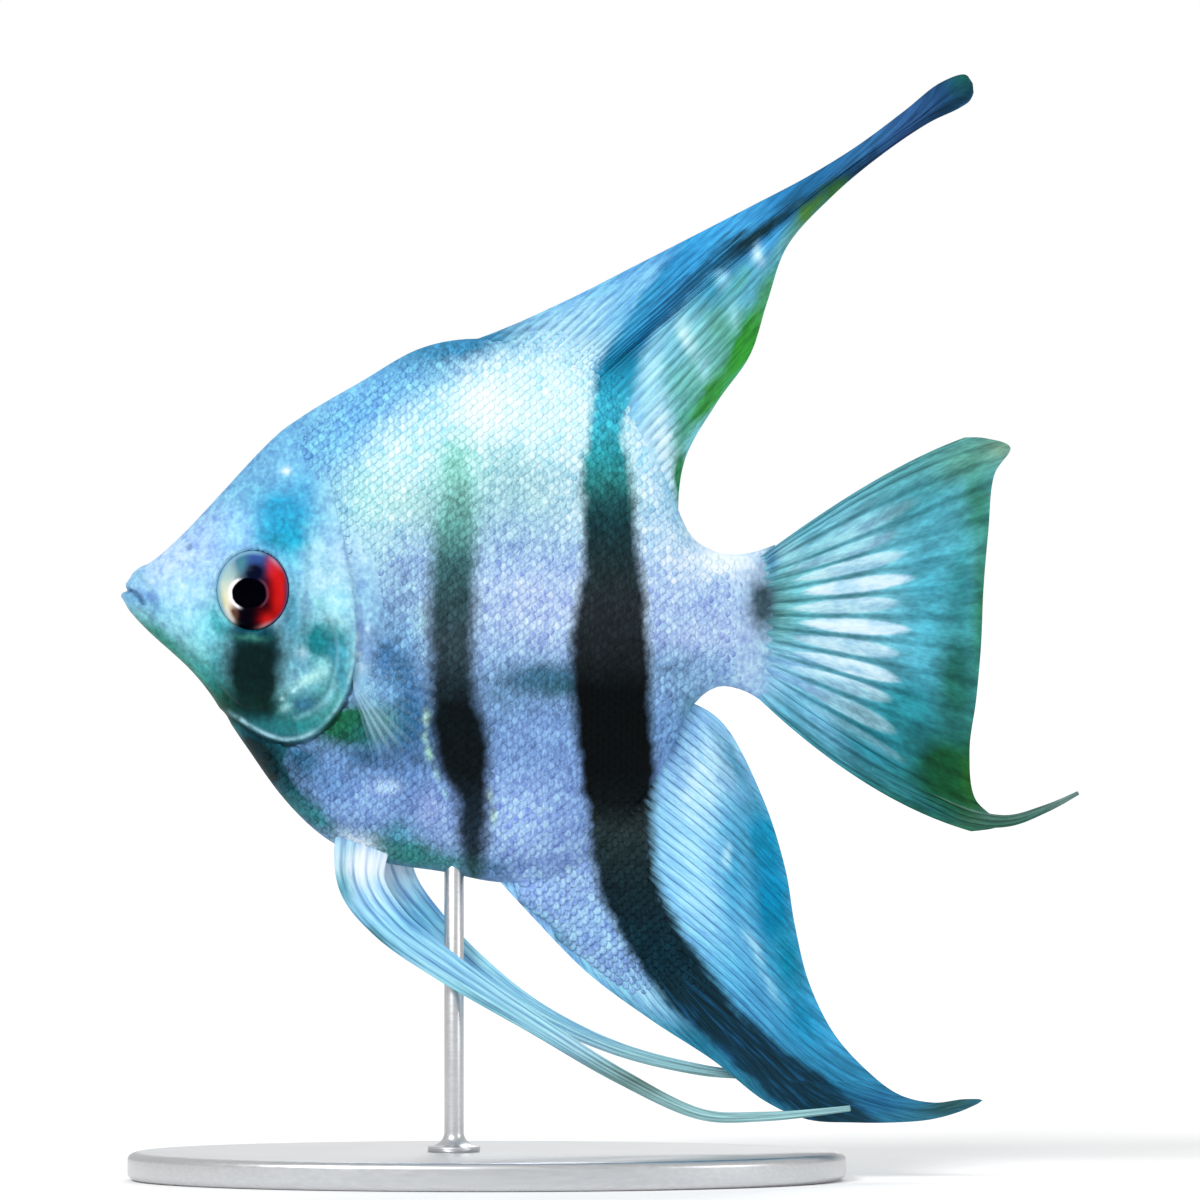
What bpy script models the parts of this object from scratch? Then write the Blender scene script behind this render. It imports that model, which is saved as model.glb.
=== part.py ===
"""Freshwater angelfish as a still, life-size display model on a small stand.

Metres, +Z up, nose towards -X, left side towards -Y. The origin is under the middle of the
model, on the floor. Sizes below are in millimetres and become metres where a mesh is made.
"""

import math

import bmesh
import bpy
import numpy as np
from mathutils import Matrix

MM = 0.001
GAP = 0.3  # left between neighbouring pieces

# Driving dimensions
SNOUT_X, TAIL_X = -58.8, 21.3  # tip of the lower jaw and end of the tail stem
KEEL = 0.55  # half thickness of the body's upper and lower rim
FIN_ROOT, FIN_RIM = 1.1, 0.6  # thickness of a middle fin at its foot and at its margin
EYE = {"centre": (-42.5, 3.7, 72.3), "radii": (4.4, 2.6, 4.85)}
BASE = {"centre_x": -14.0, "radii": (44.0, 27.0), "thickness": 3.5, "bevel": 0.8}
ROD = {"x": -18.0, "radius": 1.2, "socket_depth": 4.5, "collar_radius": 3.2, "collar_height": 2.4}

# Side profile of the flesh, as x, z
TOP_EDGE = [
    (-58.8, 72.0), (-57.9, 73.5), (-57.0, 74.5), (-55.2, 75.6), (-52.8, 77.8), (-46.7, 84.1),
    (-41.8, 89.4), (-39.3, 91.8), (-36.9, 93.5), (-29.5, 97.9), (-22.2, 102.0), (-14.8, 103.2),
    (-9.9, 102.6), (-5.0, 101.0), (-0.1, 97.8), (4.8, 92.1), (8.2, 85.8), (10.6, 79.8),
    (13.6, 77.3), (17.0, 76.8), (21.3, 77.9),
]
BOTTOM_EDGE = [
    (-58.8, 70.8), (-57.1, 68.8), (-48.8, 60.6), (-43.8, 53.4), (-39.3, 47.1), (-33.8, 41.8),
    (-28.9, 39.5), (-18.5, 37.5), (-13.6, 36.5), (-8.7, 36.3), (-3.8, 37.7), (0.5, 41.1),
    (4.8, 46.0), (8.5, 52.1), (11.5, 58.2), (14.0, 60.2), (17.0, 60.0), (21.3, 57.3),
]
# Line along which the flank is widest, and the half width there
WIDEST_Z = [(-58.8, 71.4), (-50.0, 71.5), (-30.0, 67.0), (0.0, 67.5), (21.3, 67.6)]
HALF_WIDTH = [
    (-58.8, 0.5), (-57.0, 1.9), (-53.0, 3.2), (-48.0, 4.5), (-42.0, 5.4), (-35.0, 6.3),
    (-26.0, 6.7), (-16.0, 6.3), (-4.0, 5.0), (6.0, 3.5), (14.0, 2.3), (21.3, 0.6),
]

# Rungs across the dorsal and the anal fin, from the foot to the tip of the streamer: a point on
# the front edge, one in the middle and one on the rear edge. The first rung follows the body.
DORSAL_RUNGS = [
    ((-22.0, 102.3), (-0.5, 98.3), (10.6, 80.2)), ((-12.5, 105.1), (4.3, 102.6), (10.9, 88.6)),
    ((-3.6, 108.7), (9.0, 106.4), (14.6, 95.6)), ((4.6, 112.6), (13.4, 110.0), (18.5, 101.3)),
    ((12.0, 116.2), (17.6, 113.5), (20.5, 107.7)), ((19.0, 119.7), (22.0, 117.3), (22.9, 114.5)),
    ((25.2, 122.9), (27.1, 121.4), (28.2, 120.4)), ((31.4, 126.7), (32.8, 125.6), (34.0, 125.3)),
    ((37.2, 131.0), (38.6, 129.8), (40.0, 129.4)), ((41.4, 134.3), (42.6, 132.9), (43.9, 131.3)),
    ((44.3, 135.4), (44.9, 134.3), (45.3, 132.4)), ((45.1, 135.0), (45.5, 134.3), (45.7, 133.5)),
]
ANAL_RUNGS = [
    ((-13.6, 36.2), (-0.5, 40.2), (11.4, 57.9)), ((-8.2, 30.9), (5.5, 34.0), (15.9, 55.1)),
    ((-1.5, 24.6), (10.8, 27.8), (20.3, 46.3)), ((6.2, 19.2), (15.6, 22.3), (22.8, 38.0)),
    ((13.8, 14.4), (20.0, 17.8), (23.9, 31.0)), ((20.0, 9.6), (24.0, 14.2), (25.6, 24.0)),
    ((25.4, 7.3), (27.8, 11.8), (28.6, 17.9)), ((31.0, 6.95), (31.9, 10.0), (32.7, 13.3)),
    ((36.0, 6.95), (36.3, 8.8), (36.6, 10.4)), ((40.4, 7.3), (40.6, 8.3), (40.8, 9.4)),
    ((44.0, 8.25), (44.2, 9.0), (44.4, 9.8)), ((46.8, 9.5), (46.85, 9.65), (46.9, 9.8)),
]
# Key rays of the tail fin: the height of the foot, the tip, and for a bent ray a point it passes
TAIL_RAYS = [
    (77.8, (44.6, 91.0), (34.4, 86.2)), (77.2, (47.2, 90.9), (36.0, 86.1)),
    (76.6, (50.2, 89.8), (37.5, 85.6)), (75.6, (48.3, 86.6)), (73.6, (47.5, 79.5)),
    (71.0, (46.9, 72.4)), (68.2, (46.6, 65.4)), (65.4, (46.0, 58.8)), (62.8, (45.2, 52.6)),
    (61.2, (45.9, 46.7), (34.6, 52.2)), (59.9, (48.3, 44.3), (36.4, 49.6)),
    (58.8, (48.9, 43.5), (35.6, 48.7)), (57.5, (45.4, 42.7), (33.3, 48.1)),
]
# The tail's long lower thread, as x, z and width
TAIL_THREAD = [(41.0, 46.5, 2.6), (45.4, 44.4, 2.2), (50.0, 44.0, 1.5), (54.4, 45.4, 1.0),
               (58.6, 47.4, 0.7)]
# The two long belly fins: middle of the blade as x, y to its own side, z, and the blade's width
PELVIC_LEFT = [
    (-29.2, 1.3, 42.5, 7.0), (-29.3, 1.8, 36.6, 5.8), (-26.1, 2.3, 31.8, 4.8),
    (-19.3, 2.7, 26.5, 3.9), (-8.0, 3.0, 19.2, 2.5), (2.5, 3.1, 12.8, 1.9), (12.3, 2.8, 8.2, 1.4),
    (19.5, 2.5, 7.9, 1.2), (30.5, 2.0, 8.9, 0.7),
]
PELVIC_RIGHT = [
    (-27.4, 1.3, 42.0, 7.4), (-25.6, 1.8, 36.0, 6.5), (-21.2, 2.3, 31.0, 4.8),
    (-14.4, 2.7, 25.0, 3.4), (-7.4, 3.0, 20.3, 2.3), (2.2, 3.3, 15.9, 1.7), (12.1, 3.2, 13.4, 1.4),
    (17.2, 3.0, 12.8, 1.1), (24.4, 2.8, 12.1, 0.7),
]
PELVIC_THICKNESS = (0.9, 0.6)
PECTORAL = {
    "foot": (-29.4, 61.8), "foot_height": 3.2, "length": 11.0, "angles": (-74.0, 8.0),
    "flare": 15.0, "thickness": 0.6,
}

# Where the fish is parted, as x, z
GILL_LINE = [
    (-35.6, 99.0), (-33.6, 88.0), (-31.4, 78.4), (-29.9, 69.8), (-29.9, 63.7), (-31.4, 58.6),
    (-34.4, 55.0), (-37.8, 53.7), (-41.5, 54.6), (-44.8, 56.6), (-48.5, 58.6),
]
COVER_FRONT = [(-42.2, 57.0), (-39.6, 58.2), (-37.4, 62.0), (-36.6, 68.0), (-36.2, 76.5)]
JAW_LINE = [(-60.5, 72.9), (-57.6, 71.9), (-53.9, 69.6), (-51.6, 66.6), (-50.4, 61.0)]
STEM_LINE = [(12.4, 80.0), (13.1, 68.0), (12.8, 57.0)]
COVER_DEPTH = 2.2  # thickness of a gill cover, measured in from the flank

COLOURS = {
    "flesh": ((0.45, 0.62, 0.80), 0.35, 0.1),
    "fin": ((0.16, 0.48, 0.62), 0.35, 0.1),
    "eye": ((0.02, 0.02, 0.03), 0.08, 0.0),
    "stand": ((0.62, 0.63, 0.64), 0.45, 0.8),
}


# ---- curves -------------------------------------------------------------------------------

def hermite(knots, values, at):
    """Smooth interpolation whose slope at each knot is the parabola's through its neighbours."""
    flat = np.asarray(values, float).reshape(len(knots), -1)
    gaps = np.diff(knots)[:, None]
    slopes = np.diff(flat, axis=0) / gaps
    inner = (slopes[:-1] * gaps[1:] + slopes[1:] * gaps[:-1]) / (gaps[1:] + gaps[:-1])
    first = 1.5 * slopes[:1] - 0.5 * inner[:1]
    last = 1.5 * slopes[-1:] - 0.5 * inner[-1:]
    tangents = np.concatenate([first, inner, last])
    i = np.clip(np.searchsorted(knots, at, side="right") - 1, 0, len(knots) - 2)
    h = gaps[i]
    t = (at - knots[i])[:, None] / h
    return (
        (2 * t**3 - 3 * t**2 + 1) * flat[i] + (t**3 - 2 * t**2 + t) * h * tangents[i]
        + (3 * t**2 - 2 * t**3) * flat[i + 1] + (t**3 - t**2) * h * tangents[i + 1]
    )


def through(points, count, width=3, power=0.5):
    """A curve of `count` rows through the points, spaced by the distance in `width` columns."""
    points = np.asarray(points, float)
    steps = np.linalg.norm(np.diff(points[:, :width], axis=0), axis=1) ** power
    knots = np.concatenate([[0.0], np.cumsum(steps)])
    return hermite(knots, points, np.linspace(0, knots[-1], count))


def along_x(points, x):
    """z of a profile given as x, z points."""
    points = np.array(points)
    at = np.clip(np.atleast_1d(x), points[0, 0], points[-1, 0])
    return hermite(points[:, 0], points[:, 1], at)[:, 0]


def sway(x, z):
    """How far the fins bow out of the middle plane, growing from nothing at the body."""
    tail = 2.6 * (np.maximum(x - TAIL_X, 0) / 37) ** 2
    streamer = -2.4 * (np.maximum(z - 104, 0) / 31) ** 2
    anal = 1.8 * (np.maximum(36 - z, 0) / 29) ** 2
    return tail + streamer + anal


# ---- meshes -------------------------------------------------------------------------------

def material(name):
    made = bpy.data.materials.get(name) or bpy.data.materials.new(name)
    colour, roughness, metallic = COLOURS[name]
    made.use_nodes = True
    shader = made.node_tree.nodes["Principled BSDF"]
    shader.inputs["Base Color"].default_value = (*colour, 1.0)
    shader.inputs["Roughness"].default_value = roughness
    shader.inputs["Metallic"].default_value = metallic
    return made


def new_object(name, bm, finish, into):
    """An object from a bmesh in millimetres. Without a finish it is a cutter."""
    if bm.faces:
        bmesh.ops.recalc_face_normals(bm, faces=bm.faces)
    bmesh.ops.scale(bm, vec=(MM, MM, MM), verts=bm.verts)
    mesh = bpy.data.meshes.new(name)
    bm.to_mesh(mesh)
    bm.free()
    made = bpy.data.objects.new(name, mesh)
    into.objects.link(made)
    if finish:
        mesh.materials.append(material(finish))
        mesh.shade_smooth()
        mesh.set_sharp_from_angle(angle=math.radians(40))
    else:
        made.hide_render = True
        made.display_type = "WIRE"
    return made


def grid_faces(bm, points, wrap=False):
    """Quads over a grid of points (rows, columns, 3); wrap joins the last column to the first."""
    rows, columns = points.shape[:2]
    verts = [bm.verts.new(p) for p in points.reshape(-1, 3)]
    for r in range(rows - 1):
        for c in range(columns if wrap else columns - 1):
            d = (c + 1) % columns
            near, far = r * columns, (r + 1) * columns
            bm.faces.new([verts[near + c], verts[near + d], verts[far + d], verts[far + c]])
    return verts


def loft(name, rings, finish, into):
    """A closed solid through the rings (rows, points of a ring, 3), with a face at each end."""
    bm = bmesh.new()
    count = rings.shape[1]
    verts = grid_faces(bm, rings, wrap=True)
    bm.faces.new(verts[:count])
    bm.faces.new(verts[-count:])
    return new_object(name, bm, finish, into)


def sheet(name, points, into, root, rim):
    """A fin: an open grid (rays, places along a ray, 3) given a thickness that thins to its rim."""
    bm = bmesh.new()
    grid_faces(bm, points)
    made = new_object(name, bm, "fin", into)
    group = made.vertex_groups.new(name="thickness")
    places = points.shape[1]
    for index in range(points.shape[0] * places):
        share = (index % places) / (places - 1)
        group.add([index], 1 + (rim / root - 1) * share, "REPLACE")
    solid = made.modifiers.new("thickness", "SOLIDIFY")
    solid.thickness = root * MM
    solid.offset = 0
    solid.vertex_group = group.name
    return made


def block(name, outline, low_y, high_y, into):
    """A cutter: a flat outline of x, z points made solid from low_y to high_y."""
    curve = bpy.data.curves.new(name, "CURVE")
    curve.dimensions = "2D"
    curve.fill_mode = "BOTH"
    curve.extrude = (high_y - low_y) / 2
    line = curve.splines.new("POLY")
    line.points.add(len(outline) - 1)
    for point, (x, z) in zip(line.points, outline):
        point.co = (x, z, 0, 1)
    line.use_cyclic_u = True
    flat = bpy.data.objects.new(name + "_outline", curve)
    into.objects.link(flat)
    flat.rotation_euler = (math.pi / 2, 0, 0)
    flat.location = (0, (low_y + high_y) / 2, 0)
    graph = bpy.context.evaluated_depsgraph_get()
    mesh = bpy.data.meshes.new_from_object(flat.evaluated_get(graph))
    mesh.transform(flat.matrix_world)
    bpy.data.objects.remove(flat)
    bm = bmesh.new()
    bm.from_mesh(mesh)
    bpy.data.meshes.remove(mesh)
    bmesh.ops.remove_doubles(bm, verts=bm.verts, dist=0.001)
    return new_object(name, bm, None, into)


def ball(name, centre, radii, segments, finish, into):
    """An ellipsoid whose poles lie on its left and right."""
    bm = bmesh.new()
    bmesh.ops.create_uvsphere(bm, u_segments=segments, v_segments=segments // 2, radius=1.0)
    bmesh.ops.rotate(bm, verts=bm.verts, matrix=Matrix.Rotation(math.pi / 2, 3, "X"))
    bmesh.ops.scale(bm, vec=radii, verts=bm.verts)
    bmesh.ops.translate(bm, vec=centre, verts=bm.verts)
    return new_object(name, bm, finish, into)


def turned(name, profile, centre_x, finish, into, steps):
    """A solid of revolution from radius, height pairs that run down its outer side."""
    bm = bmesh.new()
    verts = [bm.verts.new((radius, 0, height)) for radius, height in profile]
    for upper, lower in zip(verts, verts[1:]):
        bm.edges.new((upper, lower))
    made = new_object(name, bm, finish, into)
    made.location.x = centre_x * MM
    screw = made.modifiers.new("turn", "SCREW")
    screw.steps = screw.render_steps = steps
    screw.use_merge_vertices = True
    screw.merge_threshold = 0.00001
    return made


def cut(target, cutter, operation="DIFFERENCE"):
    modifier = target.modifiers.new(cutter.name, "BOOLEAN")
    modifier.object = cutter
    modifier.operation = operation
    return target


# ---- the body -----------------------------------------------------------------------------

def body_rings(grow=0.0):
    """Upright sections from the snout to the end of the tail stem, each fuller below."""
    x = np.concatenate([SNOUT_X + np.array([0.0, 0.7, 1.5]), np.linspace(-56.0, TAIL_X, 38)])
    angle = np.linspace(0, 2 * np.pi, 24, endpoint=False)
    rise = np.cos(angle)[None, :]
    top, bottom = along_x(TOP_EDGE, x)[:, None] + grow, along_x(BOTTOM_EDGE, x)[:, None] - grow
    middle = np.clip(along_x(WIDEST_Z, x)[:, None], bottom, top)
    z = middle + np.where(rise > 0, top - middle, middle - bottom) * rise
    share, below = np.abs(rise), rise < 0
    flesh = np.maximum(1 - share ** np.where(below, 2.5, 2.1), 0) ** np.where(below, 0.72, 0.85)
    keel = KEEL * np.sqrt(np.maximum(1 - share**8, 0)) + grow
    y = (along_x(HALF_WIDTH, x)[:, None] * flesh + keel) * np.sign(np.round(np.sin(angle), 6))
    return np.stack([np.broadcast_to(x[:, None], z.shape), y, z], axis=-1)


def moved(line, count, gap):
    """A curve through the line, shifted sideways by gap, to the left of its direction."""
    line = through(line, count, width=2)
    way = np.gradient(line, axis=0)
    way /= np.linalg.norm(way, axis=1)[:, None]
    return [tuple(p) for p in line + gap * np.stack([-way[:, 1], way[:, 0]], axis=1)]


def head_outline(gap):
    line = moved(GILL_LINE, 26, gap)
    return [(-75, 110), (line[0][0], 110), *line, (-75, line[-1][1])]


def cover_outline(gap):
    """The gill cover. Its rear edge lies past the head's own end, which trims it."""
    return moved(GILL_LINE[2:9], 10, 3.0) + moved(COVER_FRONT, 7, gap)


def jaw_outline(gap):
    line = moved(JAW_LINE, 9, gap)
    return [*line, (line[-1][0], 50.0), (-64.0, 50.0), (-64.0, line[0][1])]


def stem_outline(gap):
    line = moved(STEM_LINE, 5, gap)
    return [*line, (line[-1][0], 50.0), (30.0, 50.0), (30.0, 90.0), (line[0][0], 90.0)]


def body_pieces(parts, cutters):
    rings = body_rings()
    half_depth = 15.0

    def whole(name):
        return loft(name, rings, "flesh", parts)

    def through_block(name, outline):
        return block(name, outline, -half_depth, half_depth, cutters)

    head_block = through_block("head_block", head_outline(0))
    head = cut(whole("head"), head_block, "INTERSECT")
    cut(head, through_block("jaw_clear", jaw_outline(GAP)))
    jaw = cut(whole("lower_jaw"), head_block, "INTERSECT")
    cut(jaw, through_block("jaw_block", jaw_outline(0)), "INTERSECT")
    trunk = cut(whole("trunk"), through_block("head_clear", head_outline(GAP)))
    cut(trunk, through_block("stem_clear", stem_outline(-GAP)))
    cut(trunk, rod_socket(cutters))
    cut(whole("tail_stem"), through_block("stem_block", stem_outline(0)), "INTERSECT")

    inner_face = along_x(HALF_WIDTH, -36.0)[0] + KEEL - COVER_DEPTH
    for side, name in ((-1, "left"), (1, "right")):
        depth = sorted((side * inner_face, side * half_depth))
        clear = sorted((side * (inner_face - GAP), side * half_depth))
        cover = cut(whole(f"gill_cover_{name}"), head_block, "INTERSECT")
        cut(cover, block(f"cover_{name}", cover_outline(0), *depth, cutters), "INTERSECT")
        cut(head, block(f"cover_clear_{name}", cover_outline(GAP), *clear, cutters))
        x, y, z = EYE["centre"]
        ball(f"eye_{name}", (x, side * y, z), EYE["radii"], 20, "eye", parts)
        grown = [radius + GAP for radius in EYE["radii"]]
        cut(head, ball(f"socket_{name}", (x, side * y, z), grown, 16, None, cutters))


# ---- the fins -----------------------------------------------------------------------------

def rung_grid(feet, rungs, across, along):
    """Points (across, along, 3): each rung is the parabola through its three points."""
    rows = through(np.reshape(rungs, (len(rungs), 6)), along, width=6)[:, None]
    front, middle, rear = rows[..., :2], rows[..., 2:4], rows[..., 4:]
    m = np.linspace(0, 1, across)[None, :, None]
    flat = front * (1 - m) * (1 - 2 * m) + 4 * middle * m * (1 - m) + rear * m * (2 * m - 1)
    fade = (1 - np.linspace(0, 1, along)[:, None, None]) ** 4
    flat = (flat + fade * (feet(flat[0, :, 0]) - flat[0])).transpose(1, 0, 2)
    x, z = flat[..., 0], flat[..., 1]
    return np.stack([x, sway(x, z), z], axis=-1)


def ray_grid(feet, keys, rays, places):
    """Points (rays, places, 3). Each ray is the parabola through its foot, bend and tip."""
    place, tip = (np.array([key[k] for key in keys], float) for k in (0, 1))
    middle = (feet(place) + tip) / 2
    bend = np.array([key[2] if len(key) > 2 else mid for key, mid in zip(keys, middle)])
    rows = through(np.column_stack([tip, bend, place]), rays, width=2, power=0.6)
    tip, bend, foot = rows[:, None, :2], rows[:, None, 2:4], feet(rows[:, 4])[:, None]
    near, far = (np.linalg.norm(bend - end, axis=-1, keepdims=True) ** 0.5 for end in (foot, tip))
    m = near / (near + far)
    t = np.linspace(0, 1, places)[None, :, None]
    flat = foot * (t - m) * (t - 1) / m + bend * t * (1 - t) / (m * (1 - m)) + tip * t * (
        t - m) / (1 - m)
    x, z = flat[..., 0], flat[..., 1]
    return np.stack([x, sway(x, z), z], axis=-1)


def rim_feet(edge, outward):
    """Feet just outside the body's rim; outward is 1 above the body and -1 below it."""
    def feet(x):
        slope = (along_x(edge, x + 0.05) - along_x(edge, x - 0.05)) / 0.1
        size = np.sqrt(1 + slope**2)
        away = outward * GAP / size
        return np.stack([x - away * slope, along_x(edge, x) + away], axis=1)
    return feet


def stem_feet(z):
    return np.stack([np.full_like(z, TAIL_X + GAP), z], axis=1)


def middle_fins(parts, cutters):
    fins = {
        "dorsal_fin": rung_grid(rim_feet(TOP_EDGE, 1), DORSAL_RUNGS, 9, 24),
        "anal_fin": rung_grid(rim_feet(BOTTOM_EDGE, -1), ANAL_RUNGS, 9, 24),
        "tail_fin": ray_grid(stem_feet, TAIL_RAYS, 32, 6),
    }
    for name, points in fins.items():
        made = sheet(name, points, parts, FIN_ROOT, FIN_RIM)
    x, z, width = through(TAIL_THREAD, 9, width=2).T
    rows = np.column_stack([x, sway(x, z), z, width])
    thread = loft("thread", blade_rings(rows, 1, FIN_RIM, FIN_RIM), None, cutters)
    cut(made, thread, "UNION")


def blade_rings(rows, side, root, tip):
    """Rings of a flattened blade along rows of x, y, z and width, thinning from root to tip."""
    centre = rows[:, :3]
    way = np.gradient(centre, axis=0)
    way /= np.linalg.norm(way, axis=1)[:, None]
    across = np.cross(way, (0.0, side, 0.0))
    across /= np.linalg.norm(across, axis=1)[:, None]
    out = np.cross(across, way)
    angle = np.linspace(0, 2 * np.pi, 10, endpoint=False)[None, :, None]
    half_width = rows[:, 3, None, None] / 2
    half_thick = np.linspace(root, tip, len(rows))[:, None, None] / 2
    return centre[:, None] + across[:, None] * half_width * np.cos(angle) + (
        out[:, None] * half_thick * np.sin(angle))


def pelvic_fin(name, path, side, parts, clear):
    """A flattened, tapering blade carried along its path, with its width across the path."""
    rows = through(path, 22) * (1, side, 1, 1)
    cut(loft(name, blade_rings(rows, side, *PELVIC_THICKNESS), "fin", parts), clear)


def pectoral_fin(name, side, parts):
    """A rounded fan that starts beside the flank and flares off it towards the tail."""
    low, high = np.radians(PECTORAL["angles"])
    turn = np.linspace(0, 1, 13)[:, None]
    out = np.linspace(0, 1, 5)[None, :]
    angle = low + (high - low) * turn
    reach = PECTORAL["length"] * (0.68 + 0.32 * np.sin(np.pi * (0.15 + 0.7 * turn)))
    foot_x, foot_z = PECTORAL["foot"]
    x = foot_x + reach * np.cos(angle) * out
    z = foot_z + PECTORAL["foot_height"] * (turn - 0.5) + reach * np.sin(angle) * out
    flank = along_x(HALF_WIDTH, foot_x)[0] + KEEL
    y = flank + GAP + PECTORAL["thickness"] / 2 + reach * out * math.tan(
        math.radians(PECTORAL["flare"]))
    points = np.stack([x, side * y, z], axis=-1)
    sheet(name, points, parts, PECTORAL["thickness"], PECTORAL["thickness"])


# ---- the stand ----------------------------------------------------------------------------

def rod_top():
    return along_x(BOTTOM_EDGE, ROD["x"])[0] + ROD["socket_depth"] - GAP


def rod_socket(cutters):
    """The hole in the belly that the rod stands in."""
    top, radius = rod_top() + GAP, ROD["radius"] + GAP
    profile = [(0, top), (radius, top), (radius, top - 20), (0, top - 20)]
    return turned("rod_socket", profile, ROD["x"], None, cutters, 20)


def stand(parts):
    height = BASE["thickness"]
    bm = bmesh.new()
    bmesh.ops.create_cone(bm, cap_ends=True, segments=56, radius1=1, radius2=1, depth=height)
    bmesh.ops.scale(bm, vec=(*BASE["radii"], 1), verts=bm.verts)
    bmesh.ops.translate(bm, vec=(BASE["centre_x"], 0, height / 2), verts=bm.verts)
    base = new_object("stand_base", bm, "stand", parts)
    bevel = base.modifiers.new("edge", "BEVEL")
    bevel.width = BASE["bevel"] * MM
    bevel.segments = 1
    foot, wide, radius = height + GAP, ROD["collar_radius"], ROD["radius"]
    rod = [
        (0, rod_top()), (radius, rod_top()), (radius, foot + ROD["collar_height"]),
        (wide, foot + 0.45 * ROD["collar_height"]), (wide, foot), (0, foot),
    ]
    turned("stand_rod", rod, ROD["x"], "stand", parts, 20)


def main():
    for old in list(bpy.data.objects):
        bpy.data.objects.remove(old)
    parts = bpy.data.collections.new("angelfish")
    cutters = bpy.data.collections.new("cutters")
    for collection in (parts, cutters):
        bpy.context.scene.collection.children.link(collection)
    body_pieces(parts, cutters)
    middle_fins(parts, cutters)
    body_clear = loft("body_clear", body_rings(GAP), None, cutters)
    pelvic_fin("pelvic_fin_left", PELVIC_LEFT, -1, parts, body_clear)
    pelvic_fin("pelvic_fin_right", PELVIC_RIGHT, 1, parts, body_clear)
    pectoral_fin("pectoral_fin_left", -1, parts)
    pectoral_fin("pectoral_fin_right", 1, parts)
    stand(parts)


main()
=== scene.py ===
import math

import bpy
import numpy as np
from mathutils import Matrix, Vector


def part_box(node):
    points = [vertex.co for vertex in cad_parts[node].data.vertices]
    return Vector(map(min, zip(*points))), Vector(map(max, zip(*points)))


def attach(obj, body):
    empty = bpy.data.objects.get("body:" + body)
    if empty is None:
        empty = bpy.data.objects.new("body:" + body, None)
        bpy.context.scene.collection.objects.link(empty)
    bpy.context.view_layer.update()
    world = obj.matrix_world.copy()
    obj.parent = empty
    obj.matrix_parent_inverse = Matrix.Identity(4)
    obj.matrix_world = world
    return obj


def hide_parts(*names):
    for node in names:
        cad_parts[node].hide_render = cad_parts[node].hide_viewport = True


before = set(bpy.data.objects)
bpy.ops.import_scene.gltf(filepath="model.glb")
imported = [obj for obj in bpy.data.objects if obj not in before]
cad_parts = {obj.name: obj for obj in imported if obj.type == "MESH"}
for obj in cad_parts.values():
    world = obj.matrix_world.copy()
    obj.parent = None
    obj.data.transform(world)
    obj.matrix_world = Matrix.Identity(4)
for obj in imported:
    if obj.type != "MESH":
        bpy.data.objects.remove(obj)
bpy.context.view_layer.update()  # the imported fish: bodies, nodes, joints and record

mm = 0.001
sides = (("left", -1), ("right", 1))
dice = np.random.default_rng(11)


# A smooth line through knots: each slope is the one of the parabola through the neighbours
def hermite(knots, values, at):
    flat = np.asarray(values, float).reshape(len(knots), -1)
    gaps = np.diff(knots)[:, None]
    slopes = np.diff(flat, axis=0) / gaps
    inner = (slopes[:-1] * gaps[1:] + slopes[1:] * gaps[:-1]) / (gaps[1:] + gaps[:-1])
    first = 1.5 * slopes[:1] - 0.5 * inner[:1]
    last = 1.5 * slopes[-1:] - 0.5 * inner[-1:]
    tangents = np.concatenate([first, inner, last])
    i = np.clip(np.searchsorted(knots, at, side="right") - 1, 0, len(knots) - 2)
    h = gaps[i]
    t = (at - knots[i])[:, None] / h
    return (
        (2 * t**3 - 3 * t**2 + 1) * flat[i] + (t**3 - 2 * t**2 + t) * h * tangents[i]
        + (3 * t**2 - 2 * t**3) * flat[i + 1] + (t**3 - t**2) * h * tangents[i + 1]
    )


# A curve through points, its parameter spaced by the distance in the first columns
def through(points, at, width=3, power=0.5):
    points = np.asarray(points, float)
    steps = np.linalg.norm(np.diff(points[:, :width], axis=0), axis=1) ** power
    knots = np.concatenate([[0.0], np.cumsum(steps)])
    return hermite(knots, points, np.asarray(at) * knots[-1])


# Straight steps between the pairs of a table
def byTable(at, pairs):
    return np.interp(at, *np.array(pairs).T)


# z of a side profile at x, for an array of any shape
def alongX(points, x):
    points, x = np.array(points), np.asarray(x, float)
    at = np.clip(x.ravel(), points[0, 0], points[-1, 0])
    return hermite(points[:, 0], points[:, 1], at)[:, 0].reshape(x.shape)


# 0 below low, 1 above high, and 3t² - 2t³ between
def ease(value, low, high):
    t = np.clip((value - low) / (high - low), 0, 1)
    return t * t * (3 - 2 * t)


def bell(value, width):
    return np.exp(-((value / width) ** 2))


# Distance to a broken line given as x, z points, positive on the left of its direction
def fromLine(x, z, line):
    points = through(line, np.linspace(0, 1, 6 * len(line)), width=2)
    best, signed = np.full(x.shape, 1e9), np.zeros(x.shape)
    for (ax, az), (bx, bz) in zip(points, points[1:]):
        dx, dz = bx - ax, bz - az
        share = np.clip(((x - ax) * dx + (z - az) * dz) / (dx * dx + dz * dz), 0, 1)
        gap = np.hypot(x - ax - share * dx, z - az - share * dz)
        side = np.sign(dx * (z - az) - dz * (x - ax))
        nearer = gap < best
        best, signed = np.where(nearer, gap, best), np.where(nearer, gap * side, signed)
    return signed


# How far the fins bow out of the middle plane, growing as a square from nothing at the body
def sway(x, z):
    tail = 2.6 * (np.maximum(x - 21.3, 0) / 37) ** 2
    streamer = -2.4 * (np.maximum(z - 104, 0) / 31) ** 2
    anal = 1.8 * (np.maximum(36 - z, 0) / 29) ** 2
    return tail + streamer + anal


# From grids to meshes

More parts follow.
